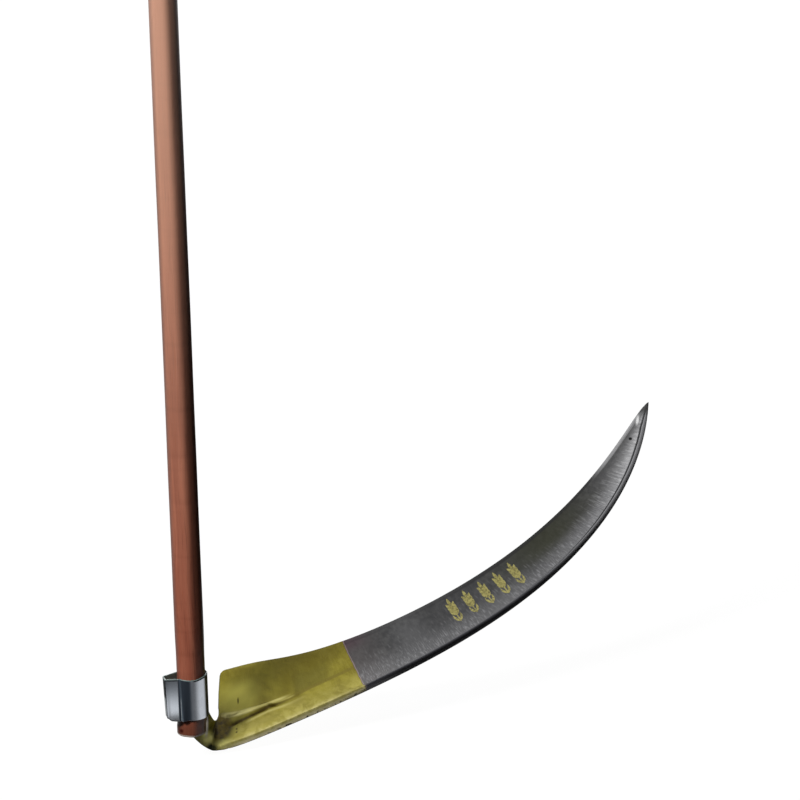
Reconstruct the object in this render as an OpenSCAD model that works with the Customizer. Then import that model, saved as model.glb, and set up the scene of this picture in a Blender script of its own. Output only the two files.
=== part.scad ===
// Scythe with a straight pole. Millimetres. The pole runs along Z, the blade
// reaches out along +X and its tang lies on the back of the pole, at +Y.
// Heights in the sections below are counted up from the foot of the pole.

/* [Pole] */
// Diameter of the round pole
pole_d = 35; // [33.6:0.2:38]
// Length of the whole pole
pole_len = 1500; // [900:10:1800]
// Height of the hand's place, which is the origin of the part
grip_z = 900; // [400:10:1200]
// Length of the foot that is dressed down for the ring
seat_len = 104; // [98:1:140]
// How much the dressed foot is thinner than the pole, on the radius
seat_cut = 0.4; // [0.2:0.1:0.8]
// Chamfer at the foot
foot_chamfer = 1.5; // [0.5:0.1:3]
// Chamfer at the top end
top_chamfer = 3; // [1:0.5:6]

/* [Ring] */
// Height of the ring's lower rim
ring_z = 23; // [18:0.5:26]
// Height of the sheet band
ring_h = 52; // [40:1:54]
// Thickness of the sheet
ring_wall = 1.6; // [1.2:0.1:2]
// Reach of the wedge lobe from the pole's axis, at the upper rim
lobe_reach = 33.2; // [32:0.1:36]
// Distance of the lobe's flat front plate in front of the pole's axis
lobe_front = 12; // [11:0.1:13]
// How far the lobe's end wall leans in over the height of the band
lobe_lean = 2.4; // [1:0.1:3.2]

/* [Wedge] */
// Depth of the wedge's head below the ring's upper rim
wedge_sink = 10; // [4:0.5:14]
// Length of the wedge
wedge_len = 41; // [30:1:44]

/* [Blade] */
// Length of the blade along its curved back
back_len = 735; // [600:1:800]
// Direction of the back behind the heel, in degrees
heel_angle = 23.2; // [18:0.1:28]
// Steady turn of the back over its whole length, in degrees
sweep_angle = 2; // [0:0.5:10]
// Extra turn that is gathered towards the tip, in degrees
hook_angle = 60.5; // [40:0.5:66]
// Width of the web at mid-length
web_w = 68; // [55:0.5:75]
// Loss of width from the heel to the tip, apart from the point itself
web_taper = 10; // [4:0.5:16]
// Extra width of the beard at the heel
beard_w = 41; // [25:1:50]
// Length over which the beard dies away
beard_len = 112; // [80:1:130]
// Radius of the beard's corner
beard_round = 7; // [3:0.5:12]
// Thickness of the web beside the rib
web_t = 1.8; // [1.4:0.1:2.6]
// Thickness of the web where the bevel starts
edge_t = 0.9; // [0.7:0.1:1.3]
// Width of the bevel along the cutting edge
bevel_w = 4; // [2:0.5:6]
// Depth of the hollow across the web, as a share of its width
dish = 0.03; // [0.01:0.005:0.05]
// Radius of the hole near the tip
tip_hole_r = 1.8; // [1:0.1:2.2]

/* [Rib and heel] */
// Height of the rib along the back
rib_h = 10; // [7:0.5:12]
// Thickness of the rib
rib_w = 5; // [4:0.5:6]
// Width of the cove that runs from the rib down to the web at the heel
root_w = 32; // [20:1:38]
// Length over which the cove narrows to the rib's own fillet
root_len = 120; // [80:1:150]
// Height of the fold along the cove's upper border at the heel
fold_h = 2; // [0.5:0.1:3]

/* [Tang] */
// Width of the tang
tang_w = 20; // [16:0.5:21]
// Thickness of the tang
tang_t = 6.5; // [5:0.1:7.5]
// Height of the tang's upper end
tang_top = 94; // [90:0.5:96]
// Height of the knob, which the blade turns on when it is set
knob_z = 84; // [81:0.5:86]
// Radius of the knob
knob_r = 4.5; // [3:0.1:5.5]
// Length of the knob in front of the tang
knob_len = 8; // [5:0.5:10]
// Width of the neck where it enters the blade
neck_w = 40; // [30:1:42]
// Lean of the blade's plane away from the pole, in degrees
blade_lean = 52; // [46:1:58]

/* [Fits] */
// Gap between the ring and the thick part of the pole, on the radius
ring_gap = 0.5; // [0.3:0.05:0.8]
// Gap between the wedge and what it bears on
wedge_gap = 0.3; // [0.2:0.05:0.5]
// Gap between the flat faces of the tang and the pole
tang_gap = 0.1; // [0.05:0.05:0.3]
// Gap around the knob, on the radius
knob_gap = 0.05; // [0.02:0.01:0.1]
// Depth of the flat for the tang, below the pole's full radius
flat_cut = 2.5; // [1.5:0.1:4]
// Most that the blade turns on its knob each way, in degrees
set_angle = 2.5; // [1:0.1:3]

/* [Hidden] */
$fn = 96;
over = 1;                                   // how far a cutter runs past a face
pole_r = pole_d / 2;
seat_r = pole_r - seat_cut;
flat_y = pole_r - flat_cut;                 // the flat that carries the tang
knob_hole_r = knob_r + knob_gap;
knob_hole_y = flat_y + tang_gap - knob_len - over;
ring_r = pole_r + ring_gap;                 // inside of the band's round part
ring_out = ring_r + ring_wall;
ring_top = ring_z + ring_h;
tang_front = flat_y + tang_gap;
tang_back = tang_front + tang_t;
flat_over = 4;                              // how far the flat runs past the tang's end
neck_top = 12;                              // height at which the tang starts to bend
neck_rise = 6;                              // how far the neck starts inside the tang
neck_inset = 0.5;                           // and how much narrower on each side
neck_thin = 0.4;                            // and how much thinner
bend_x = 1;                                 // where the neck's lines at both ends meet
bend_z = -14;
neck_in = 6;                                // how far the neck ends inside the blade
neck_up = 0.8;                              // its height over the heel's lower end
neck_lift = 1.8;                            // its middle over the blade's plane
neck_end_t = 3.5;                           // and its thickness there
foot_room = 2;                              // room under the foot for the neck's swing
tang_chamfer = 1;

// Swing of the tang's edges where they enter the ring, at the limit of the setting
tang_swing = (knob_z - ring_z) * tan(set_angle);
side_gap = 0.6;                             // room beside the tang when it is set
back_gap = 0.7;                             // room behind it
pocket_half = tang_w / 2 + tang_swing + side_gap;
pocket_y = tang_back + back_gap;            // inside of the pocket's back wall
pocket_chamfer = 2;
lobe_corner = 4;                            // chamfer at the lobe's front corner
lobe_slope = 36;                            // direction of its back plate, in degrees
lobe_back = 13;                             // where the lobe ends at the back

// The blade's own plane: X along the pole's X, Y up the blade, Z out of its upper face
heel_x = 34;                                // left end of the blade
heel_y = -18.9;                             // lower end of the heel in that plane
blade_y = 25;                               // where the plane's origin lies behind the pole
blade_z = -17.2;                            // and below the foot
heel_ease = 11;                             // how much flatter the back starts, in degrees
heel_ease_len = 20;
hook_power = 2.5;
point_power = 5;                            // how late the width runs out to the point
point_round = 0.735;
fillet_w = 3;                               // most that the rib's own fillet measures
fold_least = 0.05;                          // step left at the cove's border past the heel
edge_bare = 0.3;                            // thickness of the bare cutting edge
stations = 54;
crowding = 1.35;                            // above 1 the stations crowd towards the tip
last_u = 0.999;
corner_steps = [0, 0.04, 0.15, 0.4];        // stations on the beard's rounded corner
tip_hole_u = 0.926;                         // place of the hole along the back
tip_hole_v = 15.2;                          // and across the blade, from the back

function unit(v) = v / norm(v);
function cross_dir(a) = [cos(a), sin(a)];

// Fractions of the back's length at which the blade's sections stand
stations_u = concat([for (k = corner_steps) k * beard_round / back_len],
    [for (i = [1:stations]) last_u * (1 - pow(1 - i / stations, crowding))]);
last = len(stations_u) - 1;
function heading(u) = heel_angle + sweep_angle * u + hook_angle * pow(u, hook_power)
    - heel_ease * exp(-u * back_len / heel_ease_len);
function back_step(a, b) = back_len * (b - a) * cross_dir(heading((a + b) / 2));
back = [for (i = 0, p = [heel_x, heel_y]; i <= last;
    p = i < last ? p + back_step(stations_u[i], stations_u[i + 1]) : p, i = i + 1) p];
function back_at(u) = [for (axis = [0, 1])
    lookup(u, [for (i = [0:last]) [stations_u[i], back[i][axis]]])];

// The corner of the beard is rounded off over its own radius
function corner_loss(s) = s < beard_round
    ? beard_round - sqrt(pow(beard_round, 2) - pow(beard_round - s, 2)) : 0;
function full_width(u) = (web_w - web_taper * u) * pow(1 - pow(u, point_power), point_round)
    + beard_w / (1 + pow(u * back_len / beard_len, 2.3));
function width(u) = full_width(u) - corner_loss(u * back_len);

// Lines across the blade start square to the chord at the heel and fan out with the back
function fan(u) = 90 + heading(u) * (1 - exp(-pow(u / 0.2, 2)));

function root_share(u) = exp(-pow(u * back_len / root_len, 2));
function rib_width(u) = min(rib_w, 0.25 * width(u));
function rib_height(u) = rib_h * (1 - 0.7 * pow(u, 3)) * (1 - 0.2 * root_share(u));
function cove_width(u) = min(fillet_w, 0.1 * width(u)) + root_w * root_share(u);
function belly(q, w) = -4 * dish * w * q * (1 - q);
function web_top(q, w) = belly(q, w) + web_t + (edge_t - web_t) * q;

// One section across the blade: distance from the back, height over the plane
function section(w, rw, rh, cove, fold) = let (
        bevel = min(bevel_w, 0.12 * w),
        q_cove = (rw + cove) / w,
        q_foot = (rw + 1.05 * cove) / w,
        q_bevel = 1 - bevel / w)
    concat(
        [for (q = [0, 0.25, 0.5, 0.75, 1]) [q * w, belly(q, w)]],
        [[w, belly(1, w) + edge_bare]],
        [for (q = [q_bevel, 0.7, 0.5, q_foot]) [q * w, web_top(q, w)]],
        [[q_cove * w, web_top(q_cove, w) + fold]],
        [[rw, 0.7 * rh], [0.85 * rw, rh], [0.2 * rw, rh], [0, 0.85 * rh]]);

function blade_ring(i) = let (u = stations_u[i], a = fan(u), share = root_share(u))
    [for (p = section(width(u), rib_width(u), rib_height(u), cove_width(u),
            fold_least + fold_h * share))
        let (c = back[i] + p[0] * cross_dir(a)) [c[0], c[1], p[1]]];

// From the blade's own plane to the pole's frame, feet at zero
function to_pole(p) = [p[0],
    blade_y + p[1] * sin(blade_lean) - p[2] * cos(blade_lean),
    blade_z + p[1] * cos(blade_lean) + p[2] * sin(blade_lean)];

// A closed skin over rings that all have the same number of points
module loft(rings) {
    n = len(rings[0]);
    m = len(rings);
    sides = [for (i = [0:m - 2], j = [0:n - 1]) let (a = i * n + j, b = i * n + (j + 1) % n)
        each [[a, a + n, b], [b, a + n, b + n]]];
    polyhedron(points = [for (r = rings) each r],
        faces = concat([[for (j = [0:n - 1]) j]], sides,
            [[for (j = [n - 1:-1:0]) (m - 1) * n + j]]),
        convexity = 8);
}

// From the blade's plane to the pole's frame, as a placement
module on_blade() {
    translate([0, blade_y, blade_z]) rotate([90 - blade_lean, 0, 0]) children();
}

// From heights over the foot to heights over the hand's place
module from_grip() {
    translate([0, 0, -grip_z]) children();
}

module pole() {
    color([0.56, 0.33, 0.24]) from_grip() difference() {
        union() {
            cylinder(r1 = seat_r - foot_chamfer, r2 = seat_r, h = foot_chamfer);
            translate([0, 0, foot_chamfer])
                cylinder(r = seat_r, h = seat_len - foot_chamfer);
            translate([0, 0, seat_len])
                cylinder(r = pole_r, h = pole_len - seat_len - top_chamfer);
            translate([0, 0, pole_len - top_chamfer])
                cylinder(r1 = pole_r, r2 = pole_r - top_chamfer, h = top_chamfer);
        }
        translate([-pole_r, flat_y, -over])
            cube([pole_d, pole_d, tang_top + flat_over + over]);
        translate([0, flat_y + over, knob_z]) rotate([90, 0, 0])
            cylinder(r = knob_hole_r, h = flat_y + over - knob_hole_y);
    }
}

// Everything to the right of the lobe's leaning end wall, moved in by inset
module right_of_lobe_end(inset) {
    translate([-lobe_reach + inset, 0, ring_top])
        rotate([0, -atan(lobe_lean / ring_h), 0])
            translate([0, -3 * lobe_reach, -2 * ring_h])
                cube([6 * lobe_reach, 6 * lobe_reach, 3 * ring_h]);
}

// Outline of the lobe, with its walls moved in by inset
module lobe_outline(inset) {
    front = -lobe_front + inset;
    rise = inset / cos(lobe_slope);
    polygon([
        [0, front],
        [-lobe_reach + lobe_corner, front],
        [-lobe_reach, front + lobe_corner],
        [-lobe_reach, -rise],
        [0, lobe_reach * tan(lobe_slope) - rise]]);
}

// Outline of the pocket round the tang
module pocket_outline(inset) {
    half = pocket_half + ring_wall - inset;
    y = pocket_y + ring_wall - inset;
    c = pocket_chamfer;
    polygon([[-half, 0], [half, 0], [half, y - c], [half - c, y], [-half + c, y], [-half, y - c]]);
}

module ring_band(inset, z, h) {
    intersection() {
        translate([0, 0, z]) linear_extrude(h) lobe_outline(inset);
        right_of_lobe_end(inset);
        translate([-2 * lobe_reach, lobe_back - 2 * lobe_reach, z - over])
            cube([2 * lobe_reach, 2 * lobe_reach, h + 2 * over]);
    }
    translate([0, 0, z]) linear_extrude(h) pocket_outline(inset);
    translate([0, 0, z]) cylinder(r = ring_out - inset, h = h);
}

module ring() {
    color([0.68, 0.71, 0.74]) from_grip() difference() {
        ring_band(0, ring_z, ring_h);
        ring_band(ring_wall, ring_z - over, ring_h + 2 * over);
    }
}

module wedge() {
    top = ring_top - wedge_sink;
    inside = ring_wall + wedge_gap;
    color([0.80, 0.64, 0.42]) from_grip() intersection() {
        translate([0, 0, top - wedge_len]) linear_extrude(wedge_len) intersection() {
            lobe_outline(inside);
            translate([-2 * pole_d, -pole_d])
                square([2 * pole_d - pole_r - wedge_gap, 2 * pole_d]);
        }
        right_of_lobe_end(inside);
    }
}

// One section of the neck: a rounded bar across w_dir, as thick as t along t_dir
function bar_ring(c, w_dir, t_dir, w, t) = let (r = 0.3 * t)
    [for (p = [[-w / 2 + r, -t / 2], [w / 2 - r, -t / 2], [w / 2, -t / 2 + r], [w / 2, t / 2 - r],
        [w / 2 - r, t / 2], [-w / 2 + r, t / 2], [-w / 2, t / 2 - r], [-w / 2, -t / 2 + r]])
        c + p[0] * w_dir + p[1] * t_dir];

// The neck bends from the tang on the pole into the raised band of the heel
module neck() {
    steps = 10;
    up_blade = to_pole([0, 1, 0]) - to_pole([0, 0, 0]);
    out_of_blade = to_pole([0, 0, 1]) - to_pole([0, 0, 0]);
    start = [0, tang_front + tang_t / 2, neck_top + neck_rise];
    bend = [bend_x, tang_front + tang_t / 2, bend_z];
    end = to_pole([heel_x + neck_in, heel_y + neck_w / 2 + neck_up, neck_lift]);
    loft([for (i = [0:steps])
        let (k = i / steps,
            c = pow(1 - k, 2) * start + 2 * k * (1 - k) * bend + k * k * end,
            w_dir = unit((1 - k) * [1, 0, 0] + k * up_blade),
            t_raw = (1 - k) * [0, -1, 0] + k * out_of_blade,
            t_dir = unit(t_raw - (t_raw * w_dir) * w_dir))
        bar_ring(c, w_dir, t_dir, (1 - k) * (tang_w - 2 * neck_inset) + k * neck_w,
            (1 - k) * (tang_t - neck_thin) + k * neck_end_t)]);
}

// The neck is flat where it lies on the pole, and free of the foot below it
module neck_under_foot() {
    difference() {
        neck();
        translate([-pole_d, tang_front - pole_d, -foot_room])
            cube([2 * pole_d, pole_d, foot_room + tang_top]);
    }
}

module tang() {
    c = tang_chamfer;
    translate([0, 0, neck_top]) linear_extrude(tang_top - neck_top) polygon([
        [-tang_w / 2, tang_front],
        [tang_w / 2, tang_front],
        [tang_w / 2, tang_back - c],
        [tang_w / 2 - c, tang_back],
        [-tang_w / 2 + c, tang_back],
        [-tang_w / 2, tang_back - c]]);
    translate([0, tang_front + over, knob_z]) rotate([90, 0, 0])
        cylinder(r = knob_r, h = knob_len + over);
}

module blade() {
    hole = back_at(tip_hole_u) + tip_hole_v * cross_dir(fan(tip_hole_u));
    color([0.42, 0.42, 0.40]) from_grip() difference() {
        union() {
            on_blade() loft([for (i = [0:last]) blade_ring(i)]);
            neck_under_foot();
            tang();
        }
        on_blade() translate([hole[0], hole[1], -rib_h]) cylinder(r = tip_hole_r, h = 2 * rib_h);
    }
}

pole();
ring();
wedge();
blade();
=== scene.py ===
# %% [markdown]
# # A scythe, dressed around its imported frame
# The frame holds four real pieces: the pole, the sheet ring, the wedge and the blade. This lesson
# gives each of them its visible shape and its finish. The frame comes first, because every size
# and place below is the frame's, and nothing here may move it.

# %% Load the frame
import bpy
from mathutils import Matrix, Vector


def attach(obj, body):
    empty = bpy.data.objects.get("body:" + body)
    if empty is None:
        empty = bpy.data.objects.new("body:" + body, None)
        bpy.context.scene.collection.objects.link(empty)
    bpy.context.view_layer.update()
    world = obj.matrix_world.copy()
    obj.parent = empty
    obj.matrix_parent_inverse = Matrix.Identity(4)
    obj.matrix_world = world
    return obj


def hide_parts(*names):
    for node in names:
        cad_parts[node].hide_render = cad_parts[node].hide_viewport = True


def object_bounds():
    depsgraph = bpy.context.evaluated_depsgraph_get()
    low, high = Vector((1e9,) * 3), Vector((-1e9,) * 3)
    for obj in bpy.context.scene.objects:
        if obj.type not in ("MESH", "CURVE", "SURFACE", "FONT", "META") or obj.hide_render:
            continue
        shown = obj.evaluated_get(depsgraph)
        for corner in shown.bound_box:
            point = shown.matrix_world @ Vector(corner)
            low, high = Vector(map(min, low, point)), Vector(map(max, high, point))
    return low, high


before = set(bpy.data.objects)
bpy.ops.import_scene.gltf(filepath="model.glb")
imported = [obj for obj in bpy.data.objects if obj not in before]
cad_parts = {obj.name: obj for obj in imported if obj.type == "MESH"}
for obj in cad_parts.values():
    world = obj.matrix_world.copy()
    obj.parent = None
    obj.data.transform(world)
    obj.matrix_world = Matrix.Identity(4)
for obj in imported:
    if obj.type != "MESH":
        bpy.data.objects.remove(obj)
cad_low, cad_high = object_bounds()
print("CAD box:", [round(v, 4) for v in cad_low], [round(v, 4) for v in cad_high])

# %% Tools
import math
import bmesh
import bpy
import numpy as np
from mathutils import Matrix, Vector

scene = bpy.context.scene
scene.view_settings.view_transform = "Standard"
MM = 0.001


def new_object(name, data):
    made = bpy.data.objects.new(name, data)
    scene.collection.objects.link(made)
    return made


print("Blender", bpy.app.version_string)

# %% [markdown]
# ## The camera
# The photograph is taken with a long lens, 22 degrees above the horizon, and it is turned a
# little, so that the pole leans to the left at its top. The pole is 35 mm thick and shows 29
# pixels wide, which sets how many millimetres a pixel covers. The camera stands 40 metres away,
# so that near and far parts show at nearly the same scale, as they do there.

# %% Camera
PICTURE_PIXELS = 800
METRES_A_PIXEL = 0.001195
ELEVATION = math.radians(22)
ROLL = math.radians(2.24)
AIM = Vector((0.2623, 0.1450, -0.5408))
CAMERA_DISTANCE = 40.0
CAMERA_SEES_TO = 100.0
SENSOR = 36

look = Vector((0, math.cos(ELEVATION), -math.sin(ELEVATION)))
level_up = Vector((0, math.sin(ELEVATION), math.cos(ELEVATION)))
level_right = Vector((1, 0, 0))
camera_right = level_right * math.cos(ROLL) - level_up * math.sin(ROLL)
camera_up = level_right * math.sin(ROLL) + level_up * math.cos(ROLL)

camera_data = bpy.data.cameras.new("camera")
camera_data.sensor_width = SENSOR
camera_data.lens = SENSOR * CAMERA_DISTANCE / (PICTURE_PIXELS * METRES_A_PIXEL)
camera_data.clip_end = CAMERA_SEES_TO
camera = new_object("camera", camera_data)
camera.matrix_world = (Matrix.Translation(AIM - look * CAMERA_DISTANCE)
                       @ Matrix((camera_right, camera_up, -look)).transposed().to_4x4())
scene.camera = camera
print("lens", round(camera_data.lens, 1), "mm")

# %% [markdown]
# ## Words for wiring nodes
# Materials and geometry trees are both made of nodes. Wiring them by hand takes many lines, so a
# node's output is held as a value that can be added and multiplied like a number, and each such
# sum becomes a node of its own. A few functions on values give the soft steps, humps, mixtures and
# noises that the finishes below keep asking for.

# %% Node helpers
class Value:
    """What a socket of a tree gives. Sums on it add the nodes that work them out."""

    def __init__(self, tree, socket):
        self.tree, self.socket = tree, socket

    def __add__(self, other):
        return calc("ADD", self, other)

    def __sub__(self, other):
        return calc("SUBTRACT", self, other)

    def __rsub__(self, other):
        return calc("SUBTRACT", other, self)

    def __mul__(self, other):
        return calc("MULTIPLY", self, other)

    def __truediv__(self, other):
        return calc("DIVIDE", self, other)

    def __pow__(self, other):
        return calc("POWER", self, other)

    def __abs__(self):
        return calc("ABSOLUTE", self)


def fill(node, sockets):
    """Fills a node's inputs with values, with sockets to link or with plain settings."""
    for key, value in sockets.items():
        value = value.socket if isinstance(value, Value) else value
        if isinstance(value, bpy.types.NodeSocket):
            node.id_data.links.new(value, node.inputs[key])
        else:
            node.inputs[key].default_value = value


def add_node(tree, kind, sockets=None, **settings):
    made = tree.nodes.new(kind)
    for key, value in settings.items():
        setattr(made, key, value)
    fill(made, sockets or {})
    return made


def wire(tree, kind, sockets=None, output=0, **settings):
    """Adds a node and gives one of its outputs as a value."""
    return Value(tree, add_node(tree, kind, sockets, **settings).outputs[output])


def calc(operation, *terms):
    tree = next(term.tree for term in terms if isinstance(term, Value))
    return wire(tree, "ShaderNodeMath", dict(enumerate(terms)), operation=operation)


def clamped(value):
    """Holds the result of the last sum between zero and one."""
    value.socket.node.use_clamp = True
    return value


def rise(value, low, high, bottom=0.0, top=1.0):
    """Goes softly from bottom to top while value goes from low to high."""
    return wire(value.tree, "ShaderNodeMapRange", {
        "Value": value, "From Min": low, "From Max": high, "To Min": bottom, "To Max": top,
    }, interpolation_type="SMOOTHSTEP")


def hump(value, middle, half):
    """One at the middle and zero from half away on, both ways."""
    return rise(abs(value - middle), half, 0.0)


def distance(x, y):
    return calc("SQRT", x ** 2 + y ** 2)


def vector(x, y, z=0.0):
    return wire(x.tree, "ShaderNodeCombineXYZ", {0: x, 1: y, 2: z})


def parts_of(place):
    split = add_node(place.tree, "ShaderNodeSeparateXYZ", {0: place})
    return [Value(place.tree, socket) for socket in split.outputs]


def noise(place, scale, detail=3.0, roughness=0.55, twist=0.0):
    return wire(place.tree, "ShaderNodeTexNoise", {
        "Vector": place, "Scale": scale, "Detail": detail, "Roughness": roughness,
        "Distortion": twist})


print("node helpers ready")

# %% Colour helpers
def ink(code):
    """A screen colour such as "7a712a" as the linear colour that shaders take."""
    levels = [int(code[i:i + 2], 16) / 255 for i in (0, 2, 4)]
    linear = [v / 12.92 if v <= 0.04045 else ((v + 0.055) / 1.055) ** 2.4 for v in levels]
    return (*linear, 1.0)


def grey(level):
    return (level, level, level, 1)


def colour_mix(share, first, second):
    return wire(share.tree, "ShaderNodeMix", {0: share, 6: first, 7: second}, output=2,
                data_type="RGBA")


def inks(share, first, second):
    return colour_mix(share, ink(first), ink(second))


def lay(base, *coats):
    """Lays coats of (share, colour) over a base, one after the other."""
    for share, code in coats:
        base = colour_mix(share, base, ink(code))
    return base


def shades(value, low, high, stops):
    """A shade for each of the values given in stops, and straight between them."""
    part = wire(value.tree, "ShaderNodeMapRange", {
        "Value": value, "From Min": low, "From Max": high})
    ramp = add_node(value.tree, "ShaderNodeValToRGB", {0: part})
    points = ramp.color_ramp.elements
    for number, (at, level) in enumerate(stops):
        point = points[number] if number < 2 else points.new(1.0)
        point.position = (at - low) / (high - low)
        point.color = grey(level)
    return Value(value.tree, ramp.outputs[0])


def new_finish(name):
    """A material with its tree and its shader, and the object's own coordinates."""
    finish = bpy.data.materials.new(name)
    finish.use_nodes = True
    tree = finish.node_tree
    where = wire(tree, "ShaderNodeTexCoord", output="Object")
    return finish, tree.nodes["Principled BSDF"], where


def finish_shader(shader, colour, metal, roughness, specular, relief=None, depth=0.0):
    """Wires the shader. The relief is that many metres deep."""
    fill(shader, {"Base Color": colour, "Metallic": metal, "Roughness": roughness,
                  "Specular IOR Level": specular})
    if relief is not None:
        bump = wire(relief.tree, "ShaderNodeBump", {"Height": relief, "Distance": depth})
        fill(shader, {"Normal": bump})


print("olive paint as a linear colour:", [round(v, 3) for v in ink("7a712a")])

# %% [markdown]
# ## Floor, backdrop and light
# The photograph is cut out on pure white. A floor that only glows would lose the shadow, and one
# that is only lit would turn grey, so it does some of both for rays that reach the camera or a
# reflection. The light is one broad lamp from the left and in front, which leaves the right side
# of the pole dark, with a weaker lamp from above and a faint sky that fill the shadows. A third
# lamp stands behind the object, and lights it for views from the back.

# %% Floor and sky
FLOOR_DROP = 0.006          # room under the blade for its swing
FLOOR_GLOW = 0.92           # how much of the floor glows, where it is seen
FLOOR_STRENGTH = 1.05       # and how brightly
FLOOR_RADIUS = 14.0
SKY_FILL = 0.035            # what the sky gives to matt surfaces


def ray_kinds(tree):
    """One for rays from the camera, from a reflection and through glass, in this order."""
    path = add_node(tree, "ShaderNodeLightPath").outputs
    return [Value(tree, path[f"Is {kind} Ray"]) for kind in ("Camera", "Glossy", "Transmission")]


def disc(name, radius, sides, height, finish):
    rim = [(radius * math.cos(a), radius * math.sin(a), height)
           for a in np.linspace(0, 2 * math.pi, sides, endpoint=False)]
    mesh = bpy.data.meshes.new(name)
    mesh.from_pydata(rim, [], [list(range(sides))])
    mesh.materials.append(finish)
    return new_object(name, mesh)


floor_finish, shader, where = new_finish("floor_finish")
by_camera, by_mirror, by_glass = ray_kinds(where.tree)
seen = clamped(by_camera + by_mirror + by_glass)
finish_shader(shader, colour_mix(seen, grey(0.04), grey(0.8)), 0.0, 0.9, 0.0)
glow = add_node(where.tree, "ShaderNodeEmission", {"Color": grey(1), "Strength": FLOOR_STRENGTH})
both = add_node(where.tree, "ShaderNodeMixShader", {
    0: seen * FLOOR_GLOW, 1: shader.outputs[0], 2: glow.outputs[0]})
fill(where.tree.nodes["Material Output"], {0: both.outputs[0]})
floor = disc("floor", FLOOR_RADIUS, 96, cad_low.z - FLOOR_DROP, floor_finish)

sky = bpy.data.worlds.new("sky")
sky.use_nodes = True
scene.world = sky
tree = sky.node_tree
upwards = parts_of(wire(tree, "ShaderNodeTexCoord", output="Generated"))[2]
by_camera, by_mirror, by_glass = ray_kinds(tree)
mirrored = rise(upwards, 0.15, 0.55, 0.02, 1.0) * by_mirror
seen = clamped(by_camera + by_glass + mirrored)
fill(tree.nodes["Background"], {"Color": grey(1), "Strength": rise(seen, 0, 1, SKY_FILL, 1.0)})
print("floor at", round(cad_low.z - FLOOR_DROP, 4))

# %% Lamps
def soft_lamp(name, azimuth, elevation, distance, size, level):
    """A square lamp aimed at the picture's middle; level 1 renders white paper as white."""
    a, e = math.radians(azimuth), math.radians(elevation)
    away = Vector((math.sin(a) * math.cos(e), -math.cos(a) * math.cos(e), math.sin(e)))
    data = bpy.data.lights.new(name, "AREA")
    data.shape = "SQUARE"
    data.size = size
    data.energy = level * (math.pi * distance) ** 2
    lamp = new_object(name, data)
    lamp.location = AIM + away * distance
    lamp.rotation_mode = "QUATERNION"
    lamp.rotation_quaternion = away.to_track_quat("Z", "Y")
    lamp.visible_camera = False


soft_lamp("key_lamp", -46, 38, 3.6, 0.9, 1.12)
soft_lamp("top_lamp", -105, 76, 3.0, 1.2, 0.19)
soft_lamp("back_lamp", 180, 3, 4.0, 1.0, 0.85)

# %% [markdown]
# A studio also has dark cards, which a camera never sees but a shiny surface does. Upright
# surfaces such as the ring and the pole mirror the floor round them, so one card lies flat there.
# Close by, its shade follows the direction from the pole, which the round part of the ring shows
# from left to right. The lobe's plate leans forward, so it mirrors a strip farther away. Behind
# the pole the card is lighter, so that the back of the ring isn't black.

# %% Dark card on the floor
CARD_RADIUS, CARD_LIFT = 2.3, 0.002

card_finish, shader, where = new_finish("card_finish")
x, y, _ = parts_of(where)
turn = calc("ARCTAN2", x, y * -1)
away = distance(x, y)
near = shades(turn, -math.pi, math.pi, [
    (-3.14, 0.42), (-2.5, 0.38), (-1.75, 0.06), (-1.55, 0.20), (-1.30, 0.20), (-1.15, 0.05),
    (-0.45, 0.055), (-0.20, 0.12), (0.05, 0.18), (0.24, 0.24), (0.48, 0.37), (0.73, 0.64),
    (0.95, 0.86), (1.35, 0.88), (1.60, 0.85), (1.85, 0.30), (2.20, 0.24), (3.14, 0.42)])
plate = shades(y * -1, 0.2, 0.6, [
    (0.2, 1.3), (0.36, 1.2), (0.41, 0.9), (0.455, 0.5), (0.495, 0.24), (0.53, 0.12), (0.6, 0.05)])
beside = rise(turn, -1.9, -1.5, 1.0, 0.0) * 0.4
plate = colour_mix(hump(x, -0.024, 0.075), beside, plate)
behind = rise(abs(turn), 1.9, 2.3) * rise(away, 0.55, 0.42)
plate = colour_mix(behind, plate, grey(0.38))
shade = colour_mix(rise(away, 0.282, 0.296), near, plate)
glow = add_node(where.tree, "ShaderNodeEmission", {"Color": shade, "Strength": 1.0})
fill(where.tree.nodes["Material Output"], {0: glow.outputs[0]})
card = disc("floor_card", CARD_RADIUS, 72, cad_low.z - FLOOR_DROP + CARD_LIFT, card_finish)
for kind in ("camera", "diffuse", "transmission", "shadow", "volume_scatter"):
    setattr(card, "visible_" + kind, False)
print("card ready")

# %% [markdown]
# ## Meshes from rows of points
# The blade, the tang, the ring and the pole are all skins over rows of points, as a boat's hull is
# laid over its ribs. One function makes such a skin. It can carry maps of where each point lies on
# the piece, so that a finish can follow the piece instead of the world.

# %% Mesh helpers
def skin_faces(rows, columns, round_rows=False):
    """Faces between rows of points, each row closed. The first and the last row are capped, or
    joined to each other with round_rows."""
    last = rows if round_rows else rows - 1
    i, j = np.meshgrid(np.arange(last), np.arange(columns), indexing="ij")
    up, along = (i + 1) % rows, (j + 1) % columns
    quads = np.stack([i * columns + j, up * columns + j, up * columns + along,
                      i * columns + along], -1)
    line = list(range(columns))
    caps = [] if round_rows else [line, [last * columns + j for j in reversed(line)]]
    return quads.reshape(-1, 4).tolist() + caps


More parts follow.
